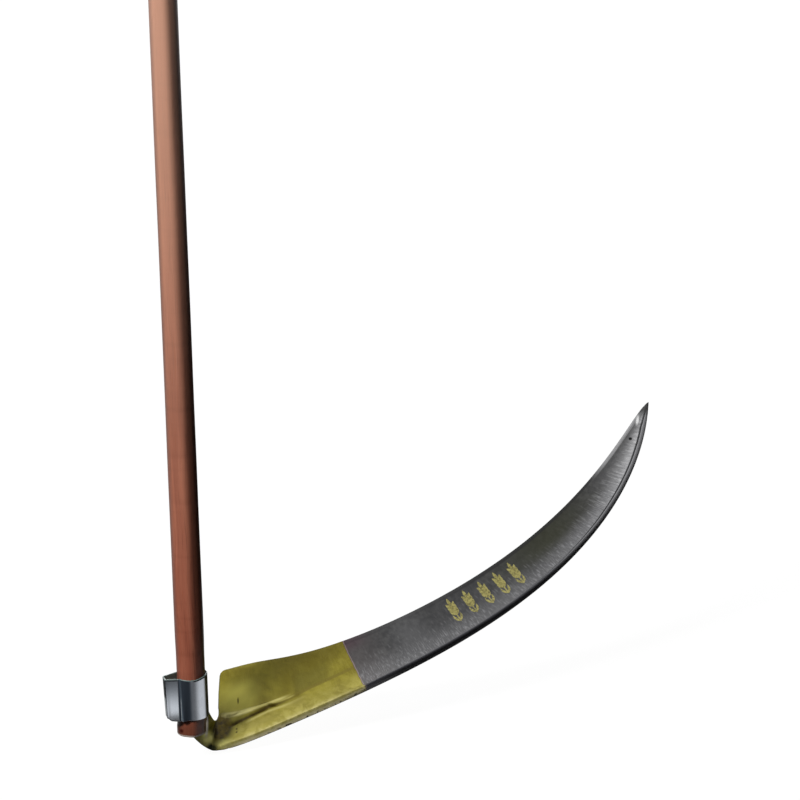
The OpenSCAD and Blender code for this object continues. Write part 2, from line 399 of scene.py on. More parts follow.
def make_piece(name, points, faces, maps=None, sharp=38):
    """A mesh object at the origin from points in metres. maps are {name: point places}."""
    mesh = bpy.data.meshes.new(name)
    mesh.from_pydata(np.asarray(points, float).reshape(-1, 3).tolist(), [], faces)
    corners = np.zeros(len(mesh.loops), np.int32)
    mesh.loops.foreach_get("vertex_index", corners)
    for map_name, places in (maps or {}).items():
        layer = mesh.uv_layers.new(name=map_name)
        layer.data.foreach_set("uv", np.asarray(places, np.float32)[corners].ravel())
    piece = new_object(name, mesh)
    smooth_shade(piece, sharp)
    return piece


def smooth_shade(piece, sharp=38):
    piece.data.shade_smooth()
    piece.data.set_sharp_from_angle(angle=math.radians(sharp))


def plain_mesh(piece):
    """Turns what the modifiers make into the piece's own mesh, and removes them."""
    bpy.context.view_layer.update()
    made = bpy.data.meshes.new_from_object(
        piece.evaluated_get(bpy.context.evaluated_depsgraph_get()))
    piece.modifiers.clear()
    old, piece.data = piece.data, made
    bpy.data.meshes.remove(old)


def combine(piece, tool, operation):
    """Joins or cuts piece with tool, which is used up."""
    cut = piece.modifiers.new("cut", "BOOLEAN")
    cut.object, cut.operation, cut.solver = tool, operation, "MANIFOLD"
    plain_mesh(piece)
    bpy.data.objects.remove(tool)


def faces_out(piece):
    """Turns the faces outwards and counts edges that don't close."""
    work = bmesh.new()
    work.from_mesh(piece.data)
    bmesh.ops.recalc_face_normals(work, faces=work.faces)
    loose = sum(not e.is_manifold for e in work.edges)
    work.to_mesh(piece.data)
    work.free()
    return loose


def points_of(piece):
    places = np.zeros(len(piece.data.vertices) * 3)
    piece.data.vertices.foreach_get("co", places)
    return places.reshape(-1, 3)


def paint(piece, finish):
    piece.data.materials.clear()
    piece.data.materials.append(finish)


print("mesh helpers ready")

# %% [markdown]
# ## The blade's rule
# A scythe blade is forged to a rule, and the frame was made from that rule, so the same sums give
# the same blade here, only with far more points. The back starts nearly straight and hooks towards
# the tip. The web is widest at the heel, where the beard stands out, and runs out to a point. All
# sizes are in millimetres in the blade's own plane, which leans 52 degrees away from the pole.

# %% Blade sizes
BACK_LEN, HEEL_ANGLE, SWEEP, HOOK, HOOK_POWER = 735.0, 23.2, 2.0, 60.5, 2.5
WEB_W, TAPER, BEARD_W, BEARD_LEN, BEARD_ROUND = 68.0, 10.0, 41.0, 112.0, 7.0
WEB_T, EDGE_T, EDGE_BARE, BEVEL_W, DISH = 1.8, 0.9, 0.3, 4.0, 0.03
RIB_H, RIB_W, ROOT_LEN, FOLD_H = 10.0, 5.0, 120.0, 2.0
HEEL_X, HEEL_Y, HEEL_EASE, HEEL_EASE_LEN = 34.0, -18.9, 11.0, 20.0
POINT_POWER, POINT_ROUND, BEARD_POWER, FAN_SHARE = 5.0, 0.735, 2.3, 0.2
BLADE_Y, BLADE_Z, BLADE_LEAN = 25.0, -17.2, math.radians(52)
FOOT_Z = -900.0             # height of the pole's foot in the frame
STATIONS, LAST_SHARE, CLOSER_AT_TIP = 1150, 0.999, 1.12


def soft(value, low, high):
    t = np.clip((value - low) / (high - low), 0, 1)
    return t * t * (3 - 2 * t)


def heading(share):
    return np.radians(HEEL_ANGLE + SWEEP * share + HOOK * share ** HOOK_POWER
                      - HEEL_EASE * np.exp(-share * BACK_LEN / HEEL_EASE_LEN))


def blade_width(share):
    along = share * BACK_LEN
    full = ((WEB_W - TAPER * share) * (1 - share ** POINT_POWER) ** POINT_ROUND
            + BEARD_W / (1 + (along / BEARD_LEN) ** BEARD_POWER))
    short = np.clip(BEARD_ROUND - along, 0, BEARD_ROUND)
    return full - (BEARD_ROUND - np.sqrt(BEARD_ROUND ** 2 - short ** 2))


def fan(share):
    """Direction of the lines across the blade."""
    return np.radians(90) + heading(share) * (1 - np.exp(-(share / FAN_SHARE) ** 2))


def to_frame(x, t, h):
    """From the blade's plane (x, t) and height h over it to the frame, in metres."""
    y = BLADE_Y + t * math.sin(BLADE_LEAN) - h * math.cos(BLADE_LEAN)
    z = BLADE_Z + t * math.cos(BLADE_LEAN) + h * math.sin(BLADE_LEAN) + FOOT_Z
    return np.stack([x, y, z], -1) * MM


shares = LAST_SHARE * (1 - (1 - np.linspace(0, 1, STATIONS)) ** CLOSER_AT_TIP)
middles = (shares[1:] + shares[:-1]) / 2
steps = BACK_LEN * np.diff(shares)
back_x = HEEL_X + np.concatenate([[0], np.cumsum(steps * np.cos(heading(middles)))])
back_y = HEEL_Y + np.concatenate([[0], np.cumsum(steps * np.sin(heading(middles)))])
print("tip in the blade's plane:", round(back_x[-1], 1), round(back_y[-1], 1), "mm")

# %% [markdown]
# ## One line across the blade
# Each line starts under the back, runs under the web to the cutting edge, comes back over the
# bevel and the hollow web, and climbs the rib. At the heel a broad raised band takes the place of
# the rib's small fillet. A smith leaves a pressed groove along that band and a ridge above it,
# which meet like the arms of a Y, so these are added as heights of their own.

# %% Sections across the blade
UNDER_POINTS, BEVEL_POINTS, WEB_POINTS, COVE_POINTS = 9, 2, 36, 10
TOP_FROM = UNDER_POINTS + 1 + BEVEL_POINTS      # where a line's upper side starts
BAND_ENDS, FOLD_ENDS, WEAR_ENDS = (105, 205), (60, 130), (150, 215)    # along the blade
BAND_W, BAND_STEP, BAND_STEP_AT = 33, 7, (55, 85)


def web_height(across, width):
    share = across / width
    return -4 * DISH * width * share * (1 - share) + WEB_T + (EDGE_T - WEB_T) * share


HEEL_LINES = np.array([
    # along the blade, then how far across it the ridge and the groove run, in millimetres
    (0, 48.0, 27.5), (8, 47.3, 28.0), (21, 45.0, 31.0), (36, 43.6, 32.4), (52, 41.7, 34.0),
    (63, 40.6, 34.5), (72, 40.4, 33.8), (82, 40.2, 33.0), (95, 40.0, 32.5), (124, 40.0, 34.0)])
RIDGE_H, GROOVE_DEPTH, HOLLOW_DEPTH = 2.2, 2.4, 2.4


def heel_relief(along, across):
    """Ridge, groove, hollow, slit and two pits, in millimetres over the plain surface."""
    ridge_at = np.interp(along, HEEL_LINES[:, 0], HEEL_LINES[:, 1])
    groove_at = np.interp(along, HEEL_LINES[:, 0], HEEL_LINES[:, 2])
    ridge = RIDGE_H * np.exp(-((across - ridge_at) / 2.8) ** 2) * soft(along, 2, 18)
    groove = -GROOVE_DEPTH * np.exp(-((across - groove_at) / 2.1) ** 2) * soft(along, -4, 12)
    hollow = -HOLLOW_DEPTH * np.exp(-(np.abs(along + 1) / 12) ** 3 - ((across - 27) / 13) ** 2)
    slit = -0.5 * np.exp(-((along - 23) / 1.0) ** 2 - ((across - 63) / 3.5) ** 2)
    pits = sum(-0.7 * np.exp(-(((along - 20.5) / 1.3) ** 2 + ((across - v) / 1.4) ** 2))
               for v in (19, 23))
    return (ridge * (1 - soft(along, 62, 92)) + groove * (1 - soft(along, 95, 124))
            + hollow + slit + pits)


def blade_lines(shares, pressed=True):
    """Distance from the back and height over the plane, for each station and point."""
    along = (shares * BACK_LEN)[:, None]
    width = blade_width(shares)[:, None]
    root = np.exp(-(along / ROOT_LEN) ** 2)
    rib_w = np.minimum(RIB_W, 0.25 * width)
    rib_h = RIB_H * (1 - 0.7 * shares[:, None] ** 3) * (1 - 0.2 * root)
    band = 1 - soft(along, *BAND_ENDS)
    cove = np.minimum(3, 0.1 * width) + band * (BAND_W - BAND_STEP * soft(along, *BAND_STEP_AT))
    fold = 0.05 + FOLD_H * (1 - soft(along, *FOLD_ENDS))
    bevel = np.minimum(BEVEL_W, 0.12 * width)
    worn = 1 - soft(along, *WEAR_ENDS)

    def rib_points(crisp, rounded_off):
        return np.array([crisp]) * (1 - worn) + np.array([rounded_off]) * worn

    q = np.linspace(0, 1, UNDER_POINTS)[None]
    under_t, under_h = q * width, -4 * DISH * width * q * (1 - q)
    lip_t, lip_h = width * np.ones((1, 1)), EDGE_BARE * np.ones_like(width)
    bevel_t = width - bevel * np.array([[0.35, 0.7]])
    bevel_h = EDGE_BARE + (web_height(width - bevel, width) - EDGE_BARE) * np.array([[0.42, 0.8]])
    foot = rib_w + cove + np.minimum(2.5, 0.05 * width)
    web_t = (width - bevel) + (foot - width + bevel) * np.linspace(0, 1, WEB_POINTS)[None]
    web_h = web_height(web_t, width)
    near = np.linspace(1, 0, COVE_POINTS + 1)[None, :-1]
    cove_t = rib_w + cove * near
    border = web_height(rib_w + cove, width) + fold
    curl = 1 + 1.1 * (1 - band)
    knee = (0.7 + 0.12 * worn) * rib_h
    cove_h = border + (knee - border) * (1 - near) ** curl
    top_t = rib_w * rib_points([1, 0.96, 0.86, 0.72, 0.57, 0.41, 0.26, 0.12, 0],
                               [1, 0.85, 0.7, 0.55, 0.42, 0.32, 0.24, 0.18, 0.14])
    top_h = rib_h * rib_points([0.7, 0.83, 0.93, 0.96, 0.93, 0.85, 0.73, 0.57, 0.38],
                               [0.82, 0.83, 0.76, 0.65, 0.54, 0.45, 0.37, 0.3, 0.24])
    outer_h = rib_h * rib_points([0.25, 0.1], [0.16, 0.06])
    across = np.hstack([under_t, lip_t, bevel_t, web_t, cove_t, top_t, 0 * outer_h])
    height = np.hstack([under_h, lip_h, bevel_h, web_h, cove_h, top_h, outer_h])
    if pressed:
        upper = slice(TOP_FROM, TOP_FROM + WEB_POINTS + COVE_POINTS)
        height[:, upper] += heel_relief(along, across[:, upper])
    return across, height, width


across, height, width = blade_lines(shares)
print("stations:", across.shape[0], " points on each line:", across.shape[1])

# %% Blade skin
directions = fan(shares)[:, None]
plane_x = back_x[:, None] + across * np.cos(directions)
plane_y = back_y[:, None] + across * np.sin(directions)
ease = np.ones((STATIONS, 1))
ease[:2, 0] = 0.4, 0.88     # the heel's end is rounded over its first two stations
middle_h = web_height(across, width) - (WEB_T + (EDGE_T - WEB_T) * across / width) / 2
height = middle_h + (height - middle_h) * ease
# The beard's left edge stands a little further out than the rule says.
FLARE, FLARE_LEN = 3.4, 11
flare = FLARE * np.interp(across, [0, 50, 57, 80, 107], [0.75, 0.75, 1.1, 0.75, 0.0])
plane_x -= flare * np.exp(-(shares[:, None] * BACK_LEN / FLARE_LEN) ** 2)
points = to_frame(plane_x, plane_y, height)
along_map = np.stack([np.broadcast_to(shares[:, None] * BACK_LEN, across.shape), across], -1) * MM
share_map = np.stack([np.broadcast_to(shares[:, None], across.shape), across / width], -1)
blade = make_piece("blade_forged", points, skin_faces(*across.shape), maps={
    "along_across": along_map.reshape(-1, 2), "shares": share_map.reshape(-1, 2)})
print("blade skin:", len(blade.data.polygons), "faces, edges left open:", faces_out(blade))

# %% [markdown]
# ## Tang, neck and knob
# The tang lies flat on the back of the pole. Just under the ring it widens into a shoulder, bends
# under the pole's foot and turns by a quarter until it runs into the raised band. It is one skin:
# the table gives its two edges on the underside and how much of the blade's own section it has
# taken on, and a smooth curve is laid through each column. The pole's foot must stay free, so the
# skin is held behind the pole's flat wherever it is higher than the foot.

# %% Neck table
TANG_W, TANG_T, TANG_TOP, TANG_FRONT, FOOT_ROOM = 20.0, 6.5, 94.0, 15.1, 2.0
TANG_BACK = TANG_FRONT + TANG_T
JOIN_X = 31.0               # where the neck meets the band
NECK_TABLE = np.array([
    # back edge x, y, z; beard edge x, y, z; share of the blade's section; inset
    (-10.0, 21.6, 26.0, 10.0, 21.6, 21.9, 0.00, 0.0),
    (-10.0, 21.6, 20.0, 13.6, 21.6, 20.9, 0.00, 0.0),
    (-10.0, 21.6, 13.5, 18.3, 21.6, 19.8, 0.00, 0.0),
    (-9.2, 21.6, 6.0, 20.6, 21.6, 15.4, 0.03, 0.0),
    (-6.5, 21.4, -3.5, 23.2, 21.9, 9.8, 0.10, 0.0),
    (-1.0, 20.8, -13.5, 25.0, 26.0, 5.3, 0.25, 0.0),
    (6.4, 19.3, -22.0, 26.0, 33.5, 1.1, 0.48, 0.0),
    (14.0, 16.0, -27.0, 26.5, 40.0, -1.5, 0.74, 0.0),
    (21.0, 12.4, -29.4, 27.1, 44.2, -2.2, 0.92, 0.0),
    (26.0, 9.9, -29.1, 28.4, 46.4, -0.5, 1.00, 0.0),
    (30.0, 9.8, -29.0, 30.3, 50.0, 2.4, 1.00, 0.10),
    (34.5, 10.2, -28.8, 34.0, 54.9, 6.2, 1.00, 0.22),
    (40.0, 11.1, -28.0, 40.0, 54.9, 6.2, 1.00, 0.35),
])
heel_across, heel_height, _ = blade_lines(np.array([0.0]), pressed=False)
heel_top_at, heel_top = heel_across[0, TOP_FROM:-2][::-1], heel_height[0, TOP_FROM:-2][::-1]
heel_under_at, heel_under = heel_across[0, :UNDER_POINTS], heel_height[0, :UNDER_POINTS]


def unit(v):
    return v / np.linalg.norm(v, axis=-1, keepdims=True)


def through(values, at):
    """A smooth curve through the rows of values, read at fractional row numbers."""
    slopes = np.gradient(values, axis=0)
    i = np.clip(at.astype(int), 0, len(values) - 2)
    t = (at - i)[:, None]
    return ((2 * t ** 3 - 3 * t ** 2 + 1) * values[i] + (t ** 3 - 2 * t ** 2 + t) * slopes[i]
            + (3 * t ** 2 - 2 * t ** 3) * values[i + 1] + (t ** 3 - t ** 2) * slopes[i + 1])


def neck_outline(width, blend, inset, along, pairs=32):
    """A closed outline of distances from the back edge and heights over the underside."""
    d = inset + (width - 2 * inset) * (1 - np.cos(np.linspace(0, math.pi, pairs))) / 2
    top = (1 - blend) * TANG_T + blend * (np.interp(d, heel_top_at, heel_top)
                                          + heel_relief(along, d))
    low = blend * np.interp(d, heel_under_at, heel_under)
    corner = 1.9 * (1 - blend) + 0.4 * blend
    curve = np.sqrt(1 - (1 - np.clip(np.minimum(d, width - d) / corner, 0, 1)) ** 2)
    thick = top - low - 2 * inset
    lower = low + inset + 0.3 * thick * (1 - curve)
    upper = low + inset + thick * (0.3 + 0.7 * curve)
    return (np.concatenate([d, d[-2:0:-1]]), np.concatenate([lower, upper[-2:0:-1]]))


print("table rows:", len(NECK_TABLE))

# %% Neck skin
path = through(NECK_TABLE, np.linspace(0, len(NECK_TABLE) - 1, 90))
path[:, 6] = np.clip(path[:, 6], 0, 1)
tang_z = np.concatenate([[TANG_TOP, TANG_TOP - 0.3, TANG_TOP - 1], np.linspace(88, 29, 16)])
tang = np.zeros((len(tang_z), 8))
tang[:, 0], tang[:, 3] = -TANG_W / 2, TANG_W / 2
tang[:, 1] = tang[:, 4] = TANG_BACK
tang[:, 2] = tang[:, 5] = tang_z
tang[:2, 7] = 0.9, 0.3      # bevel at the tang's end
path = np.vstack([tang, path])
back_edge, beard_edge = path[:, :3], path[:, 3:6]
middle = (back_edge + beard_edge) / 2
w_dir = unit(beard_edge - back_edge)
n_dir = -unit(np.cross(w_dir, unit(np.gradient(middle, axis=0))))
run = np.concatenate([[0], np.cumsum(np.linalg.norm(np.diff(middle, axis=0), axis=1))])
past_tang = slice(len(tang_z) + 1, None)
run -= np.interp(JOIN_X, middle[past_tang, 0], run[past_tang])
rows, row_maps = [], []
for k in range(len(path)):
    wide = np.linalg.norm(beard_edge[k] - back_edge[k])
    d, h = neck_outline(wide, path[k, 6], path[k, 7], run[k])
    rows.append(back_edge[k] + d[:, None] * w_dir[k] + h[:, None] * n_dir[k])
    row_maps.append(np.stack([np.full_like(d, run[k]), d], -1) * MM)
neck = np.array(rows)
above_foot = neck[:, :, 2] > -FOOT_ROOM
neck[:, :, 1] = np.where(above_foot, np.maximum(neck[:, :, 1], TANG_FRONT), neck[:, :, 1])
neck[:, :, 2] += FOOT_Z
neck_maps = np.array(row_maps).reshape(-1, 2)
# The neck has no cutting edge, so its second map only has to stay far from the edge's share.
neck_piece = make_piece("neck", neck * MM, skin_faces(*neck.shape[:2]), maps={
    "along_across": neck_maps, "shares": neck_maps * 5})
n_blade = np.array([0, -math.cos(BLADE_LEAN), math.sin(BLADE_LEAN)])
up_blade = np.array([0, math.sin(BLADE_LEAN), math.cos(BLADE_LEAN)])
print("neck edges left open:", faces_out(neck_piece), " length", round(float(run[-1] - run[0]), 1))

# %% Knob and tip hole
def rod(name, radii, heights, centre, turn, place=(-0.1, 0.02), sides=40):
    """A turned rod: radii at heights along its own Z, turned and moved, all in millimetres."""
    around = np.linspace(0, 2 * math.pi, sides, endpoint=False)
    rings = [np.stack([r * np.cos(around), r * np.sin(around), np.full(sides, h)], -1)
             for r, h in zip(radii, heights)]
    turned = np.array(rings).reshape(-1, 3) @ np.array(turn.to_3x3()).T + np.array(centre)
    places = np.tile([place], (len(turned), 1))
    made = make_piece(name, turned * MM, skin_faces(len(radii), sides), maps={
        "along_across": places, "shares": 0 * places})
    faces_out(made)
    return made


KNOB_Z, KNOB_R, KNOB_LEN = 84.0, 4.5, 8.0
TIP_HOLE_R, TIP_HOLE_SHARE, TIP_HOLE_ACROSS = 1.8, 0.926, 15.2
TIP_HOLE_PLACE = np.array([TIP_HOLE_SHARE * BACK_LEN, TIP_HOLE_ACROSS])
forwards = Matrix.Rotation(math.radians(90), 4, "X")
knob = rod("knob", [KNOB_R, KNOB_R, KNOB_R - 0.25, KNOB_R - 0.8],
           [-1.5, KNOB_LEN - 0.8, KNOB_LEN - 0.25, KNOB_LEN],
           (0, TANG_FRONT, KNOB_Z + FOOT_Z), forwards)
combine(neck_piece, knob, "UNION")
combine(blade, neck_piece, "UNION")
hx = np.interp(TIP_HOLE_SHARE, shares, back_x)
hy = np.interp(TIP_HOLE_SHARE, shares, back_y)
turn = fan(np.array(TIP_HOLE_SHARE))
hole_at = to_frame(hx + TIP_HOLE_ACROSS * math.cos(turn),
                   hy + TIP_HOLE_ACROSS * math.sin(turn), 0.0)
lean = Matrix.Rotation(math.pi / 2 - BLADE_LEAN, 4, "X")
drill = rod("drill", [TIP_HOLE_R, TIP_HOLE_R], [0.1, 6], hole_at / MM, lean,
            TIP_HOLE_PLACE * MM)
combine(blade, drill, "DIFFERENCE")
print("blade with neck, knob and hole:", len(blade.data.polygons), "faces")

# %% [markdown]
# Where the neck meets the band the two skins cross in a hard line, but forged steel flows there.
# Points near that line are moved to the middle of their neighbours again and again, most at the
# line and less away from it, which rounds it off as a fillet.

# %% Flow between neck and band
def relax(piece, weights, times):
    """Moves each point towards the middle of its neighbours by its weight."""
    mesh = piece.data
    edges = np.zeros(len(mesh.edges) * 2, np.int32)
    mesh.edges.foreach_get("vertices", edges)
    edges = edges.reshape(-1, 2)
    near = (weights[edges] > 0).any(1)
    a, b = edges[near].T
    places = points_of(piece)
    neighbours = np.bincount(np.concatenate([a, b]), minlength=len(places))
    for _ in range(times):
        total = np.zeros_like(places)
        np.add.at(total, a, places[b])
        np.add.at(total, b, places[a])
        mean = total / np.maximum(neighbours, 1)[:, None]
        places += (mean - places) * weights[:, None]
    mesh.vertices.foreach_set("co", places.ravel())
    mesh.update()


PULL, FILLET, ROUNDS = 0.7, 5, 45
places = points_of(blade) / MM - np.array([0, BLADE_Y, BLADE_Z + FOOT_Z])
plane_t = places @ up_blade
from_join = places[:, 0] - JOIN_X
weights = (PULL * np.exp(-(from_join / FILLET) ** 2) * (np.abs(from_join) < 2.2 * FILLET)
           * (1 - soft(plane_t, 34, 40)) * (0.12 + 0.88 * soft(plane_t, -17, -8)))
relax(blade, weights, ROUNDS)
smooth_shade(blade)
print("points in the fillet:", int((weights > 0.05).sum()))

# %% [markdown]
# ## Hammer marks
# The web of a forged blade is tightened with a narrow hammer, whose rows of short dents run across
# the blade. They follow a rule, so a geometry tree presses them into the skin: it lays a brick
# pattern over the map of the blade, gives each brick one dent with its own place and depth, and
# also makes the whole web a little uneven. The tree keeps each point's share of a dent as an
# attribute, which the finish reads.

# %% Hammer tree
def new_tree(name, numbers):
    """A geometry tree with named number inputs. Gives the tree, its inputs and its end node."""
    made = bpy.data.node_groups.new(name, "GeometryNodeTree")
    for way in ("INPUT", "OUTPUT"):
        made.interface.new_socket("Geometry", in_out=way, socket_type="NodeSocketGeometry")
    for key in numbers:
        made.interface.new_socket(key, in_out="INPUT", socket_type="NodeSocketFloat")
    sockets = made.nodes.new("NodeGroupInput").outputs
    given = {key: Value(made, sockets[key]) for key in ("Geometry", *numbers)}
    return made, given, made.nodes.new("NodeGroupOutput")


def use_tree(piece, tree, numbers):
    """Runs the tree on the piece, setting each input by its socket's identifier."""
    modifier = piece.modifiers.new(tree.name, "NODES")
    modifier.node_group = tree
    for item in tree.interface.items_tree:
        if item.item_type == "SOCKET" and item.in_out == "INPUT" and item.name in numbers:
            modifier[item.identifier] = numbers[item.name]
    plain_mesh(piece)


def read_attribute(tree, name, kind):
    return wire(tree, "GeometryNodeInputNamedAttribute", {"Name": name}, data_type=kind)


def store(geometry, name, value, kind):
    return wire(value.tree, "GeometryNodeStoreNamedAttribute", {
        "Geometry": geometry, "Name": name, "Value": value}, data_type=kind, domain="POINT")


def off_blade(height):
    """A step of that height, in metres, square to the blade's plane."""
    return wire(height.tree, "ShaderNodeVectorMath", {0: tuple(n_blade), "Scale": height},
                operation="SCALE")


STRAY_A, STRAY_B, SLANT = 4.2, 3.4, 0.22         # how far dents stray, and how they lean
HAMMER = {"Column": 6.1, "Row": 7.4, "Length": 8.0, "Width": 2.4, "Depth": 0.055,
          "First": 191.0, "Last": 716.0, "Unevenness": 0.30, "Seed": 7.0}
tree, given, out = new_tree("hammer_marks", HAMMER)
x, y, _ = parts_of(read_attribute(tree, "along_across", "FLOAT_VECTOR"))
along, across = x * 1000, y * 1000

# Each brick of the pattern has three chances of its own, for place, depth and slant.
row = calc("FLOOR", across / given["Row"])
lane = along / given["Column"] + calc("MODULO", row, 2) * 0.5
chance = wire(tree, "ShaderNodeTexWhiteNoise", {
    "Vector": vector(calc("FLOOR", lane), row, given["Seed"])}, output="Color")
r1, r2, r3 = parts_of(chance)
from_a = (calc("FRACT", lane) - 0.5) * given["Column"] + (r1 - 0.5) * STRAY_A
from_b = (calc("FRACT", across / given["Row"]) - 0.5) * given["Row"] + (r2 - 0.5) * STRAY_B
from_a = from_a + from_b * (r3 - 0.5) * SLANT
oval = (from_a * 2 / given["Width"]) ** 2 + (from_b * 2 / given["Length"]) ** 2
dent = clamped(1 - oval) * rise(r3, 0.1, 0.95, 0.05, 1.0)

# Dents lie on the bare upper side of the web only, and stop short of the rib and the edge.
facing = wire(tree, "ShaderNodeVectorMath", {
    0: wire(tree, "GeometryNodeInputNormal"), 1: tuple(n_blade)}, output="Value",
    operation="DOT_PRODUCT")
first, last = given["First"], given["Last"]
zone = rise(along, first, first + 4) * rise(along, last, last - 60) * rise(across, 7.0, 10.0)
reach = rise(along, 380, 560, 62.0, 27.0)
zone = zone * rise(reach - across, 0, 24, 0.08, 1.0) * rise(facing, 0.75, 0.9)
dent = dent * zone

waves = noise(wire(tree, "GeometryNodeInputPosition"), 38, 2.0) - 0.5
flat = rise(across, 9, 14) * rise(along, 18, 40)
lift = (waves * given["Unevenness"] * flat - dent * given["Depth"]) * MM
moved = wire(tree, "GeometryNodeSetPosition", {
    "Geometry": store(given["Geometry"], "dent", dent, "FLOAT"), "Offset": off_blade(lift)})
fill(out, {0: moved})
use_tree(blade, tree, HAMMER)
dents = np.zeros(len(blade.data.vertices), np.float32)
blade.data.attributes["dent"].data.foreach_get("value", dents)
print("points inside a dent:", int((dents > 0.1).sum()), " open edges:", faces_out(blade))
smooth_shade(blade)

# %% [markdown]
# ## Paint and steel
# The heel and the tang are brushed with an olive gold paint up to one straight line across the
# blade, and the light and shade of the heel's ridge, groove, hollow and band are painted into
# that paint. Beyond the line the steel is dark under a clear lacquer, with the rib's painted
# shadow in a line beside the rib, and it gets brighter towards the rib and the tip, partly where
# the grinder has been and partly as painted light. All this follows the blade, so the finish
# reads the two maps: how far along and across, and shares. It is laid as coats of one colour
# each, and each coat has a share that says where it lies and how thickly.

# %% Blade finish
PAINT_END = 189.0           # millimetres along the blade
SHADE_REACH = 100
blade_finish, shader, where = new_finish("forged_blade_finish")
tree = where.tree
blade_map = parts_of(wire(tree, "ShaderNodeUVMap", uv_map="along_across"))
along, across = blade_map[0] * 1000, blade_map[1] * 1000
edge_share = parts_of(wire(tree, "ShaderNodeUVMap", uv_map="shares"))[1]
dent = wire(tree, "ShaderNodeAttribute", output="Fac", attribute_name="dent")


def spot(middle_a, half_a, middle_b, half_b, strength):
    """A soft oval patch at a place along and across the blade, in millimetres."""
    return clamped(hump(along, middle_a, half_a) * hump(across, middle_b, half_b) * strength)


def streaks(a, b, detail, twist=0.0):
    """A noise that is stretched over the blade by so many waves a millimetre along and across."""
    return noise(vector(along * a, across * b), 1.0, detail, 0.6, twist)


def heel_line(column):
    """How far across the blade a line of the heel runs at this place along it. A shade goes
    from zero to one, so it holds a share of SHADE_REACH millimetres."""
    stops = [(row[0], row[column] / SHADE_REACH) for row in HEEL_LINES]
    return shades(along, 0, HEEL_LINES[-1, 0], stops) * SHADE_REACH


line_at = along + (noise(where, 160, 3) - 0.5) * 2.2
painted = rise(line_at, PAINT_END + 0.5, PAINT_END - 0.3)
fringe = hump(line_at, PAINT_END + 1, 1.4)
strokes = streaks(0.3, 0.04, 4, 0.8)
blotch = noise(where, 30, 4, 0.55, 0.3)
lumps = noise(where, 95, 3, 0.6, 0.4)
over_ridge = across - heel_line(1)
over_groove = across - heel_line(2)

gold = inks(rise(blotch, 0.38, 0.62), "675d0a", "847b24")
painted_light_low_band = rise(across, 36, 10, 0.1, 1.0) * rise(lumps, 0.38, 0.60, 1.0, 0.45)
above = rise(across, 34.5, 36.8) * rise(across, 70, 52, 0.0, 0.52)
gold = lay(
    gold,
    # brush strokes, lumps, the pale left side, painted shade on the upper edge, and painted light
    # on the low band
    (rise(strokes, 0.45, 0.75, 0.0, 0.35), "958c3c"),
    (rise(lumps, 0.50, 0.72, 0.0, 0.40), "5f5519"),
    (rise(along, 45, 8) * rise(across, 100, 75, 0.0, 0.7), "8f8834"),
    (rise(edge_share, 0.55, 0.95) * rise(along, 50, 110, 0.15, 0.70), "584e04"),
    (painted_light_low_band * rise(along, 0, 25, 0.25, 1.0), "9e954a"),
    (rise(across, 11, 4) * rise(lumps, 0.4, 0.6, 0.85, 0.3), "b8af72"),
    # painted shade above the ridge, over the band's border,
    # and in the valley between ridge and groove
    (hump(over_ridge, 6, 9) * rise(along, 15, 40) * rise(along, 130, 90, 0.0, 0.30), "5e5517"),
    (above * rise(along, 96, 108) * rise(along, 172, 140), "3c3608"),
    (rise(over_ridge, 0, -2.5) * rise(over_groove, 0, 1.5) * rise(along, 40, 62, 0.0, 0.75),
     "6b6020"),
    # light and dark patches on the beard, and a painted highlight on the ridge
    (spot(50, 16, 68, 17, 0.30), "b0a548"),
    (spot(19, 13, 79, 14, 0.30), "5f5a1c"),
    (spot(6, 10, 58, 12, 0.45), "b5aa50"),
    (spot(17, 9, 45.5, 5.5, 0.6), "e8e09a"))

# A painted highlight on the ridge's bank, painted shade in the groove and its fork, and
# painted highlights on the groove's two lips
bank = rise(along, 60, 30, 3.2, 5.6)      # how wide the bank is
bank_highlight_ink = inks(rise(along, 22, 55), "ece49e", "c2b970")
painted_highlight_on_bank = hump((over_ridge + bank * 0.15) / bank, 0.0, 1.0)
painted_highlight_on_bank = painted_highlight_on_bank * rise(along, 100, 72) * rise(along, -1, 6, 0.0, 1.4)
gold = colour_mix(painted_highlight_on_bank, gold, bank_highlight_ink)
groove_shade = hump(over_groove, 0.8, 4.2) * rise(along, 98, 64, 0.15, 1.1)
fork = hump(across - rise(along, 36, 86, 31.8, 41.0), 0, 2.5)
gold = lay(
    gold,
    (clamped(groove_shade * rise(along, 124, 108) * rise(along, -3, 6)), "3f3400"),
    (fork * rise(along, 45, 55) * rise(along, 68, 58), "3f3400"),
    (hump(over_groove, 4.2, 1.8) * rise(along, 64, 72) * rise(along, 104, 94, 0.0, 0.8), "a69d54"),
    (hump(over_groove, -5.5, 3.4) * rise(along, 26, 40) * rise(along, 120, 90, 0.0, 0.65),
     "bcb36c"),
    # painted light over the pole's shadow on the beard, darker and lighter patches, and the
    # beard's dark left edge
    (spot(27, 34, 64, 30, 1.1), "c8c058"),
    (rise(along, 1.6, 0.3, 0.0, 0.8) * rise(across, 48, 56), "4c4a30"),
    (spot(94, 20, 56, 22, 0.7), "5f5504"),
    (spot(135, 24, 66, 18, 0.6), "5f5504"),
    (spot(52, 26, 18, 10, 0.8), "857c38"),
    (spot(100, 22, 25, 9, 0.7), "857c38"))
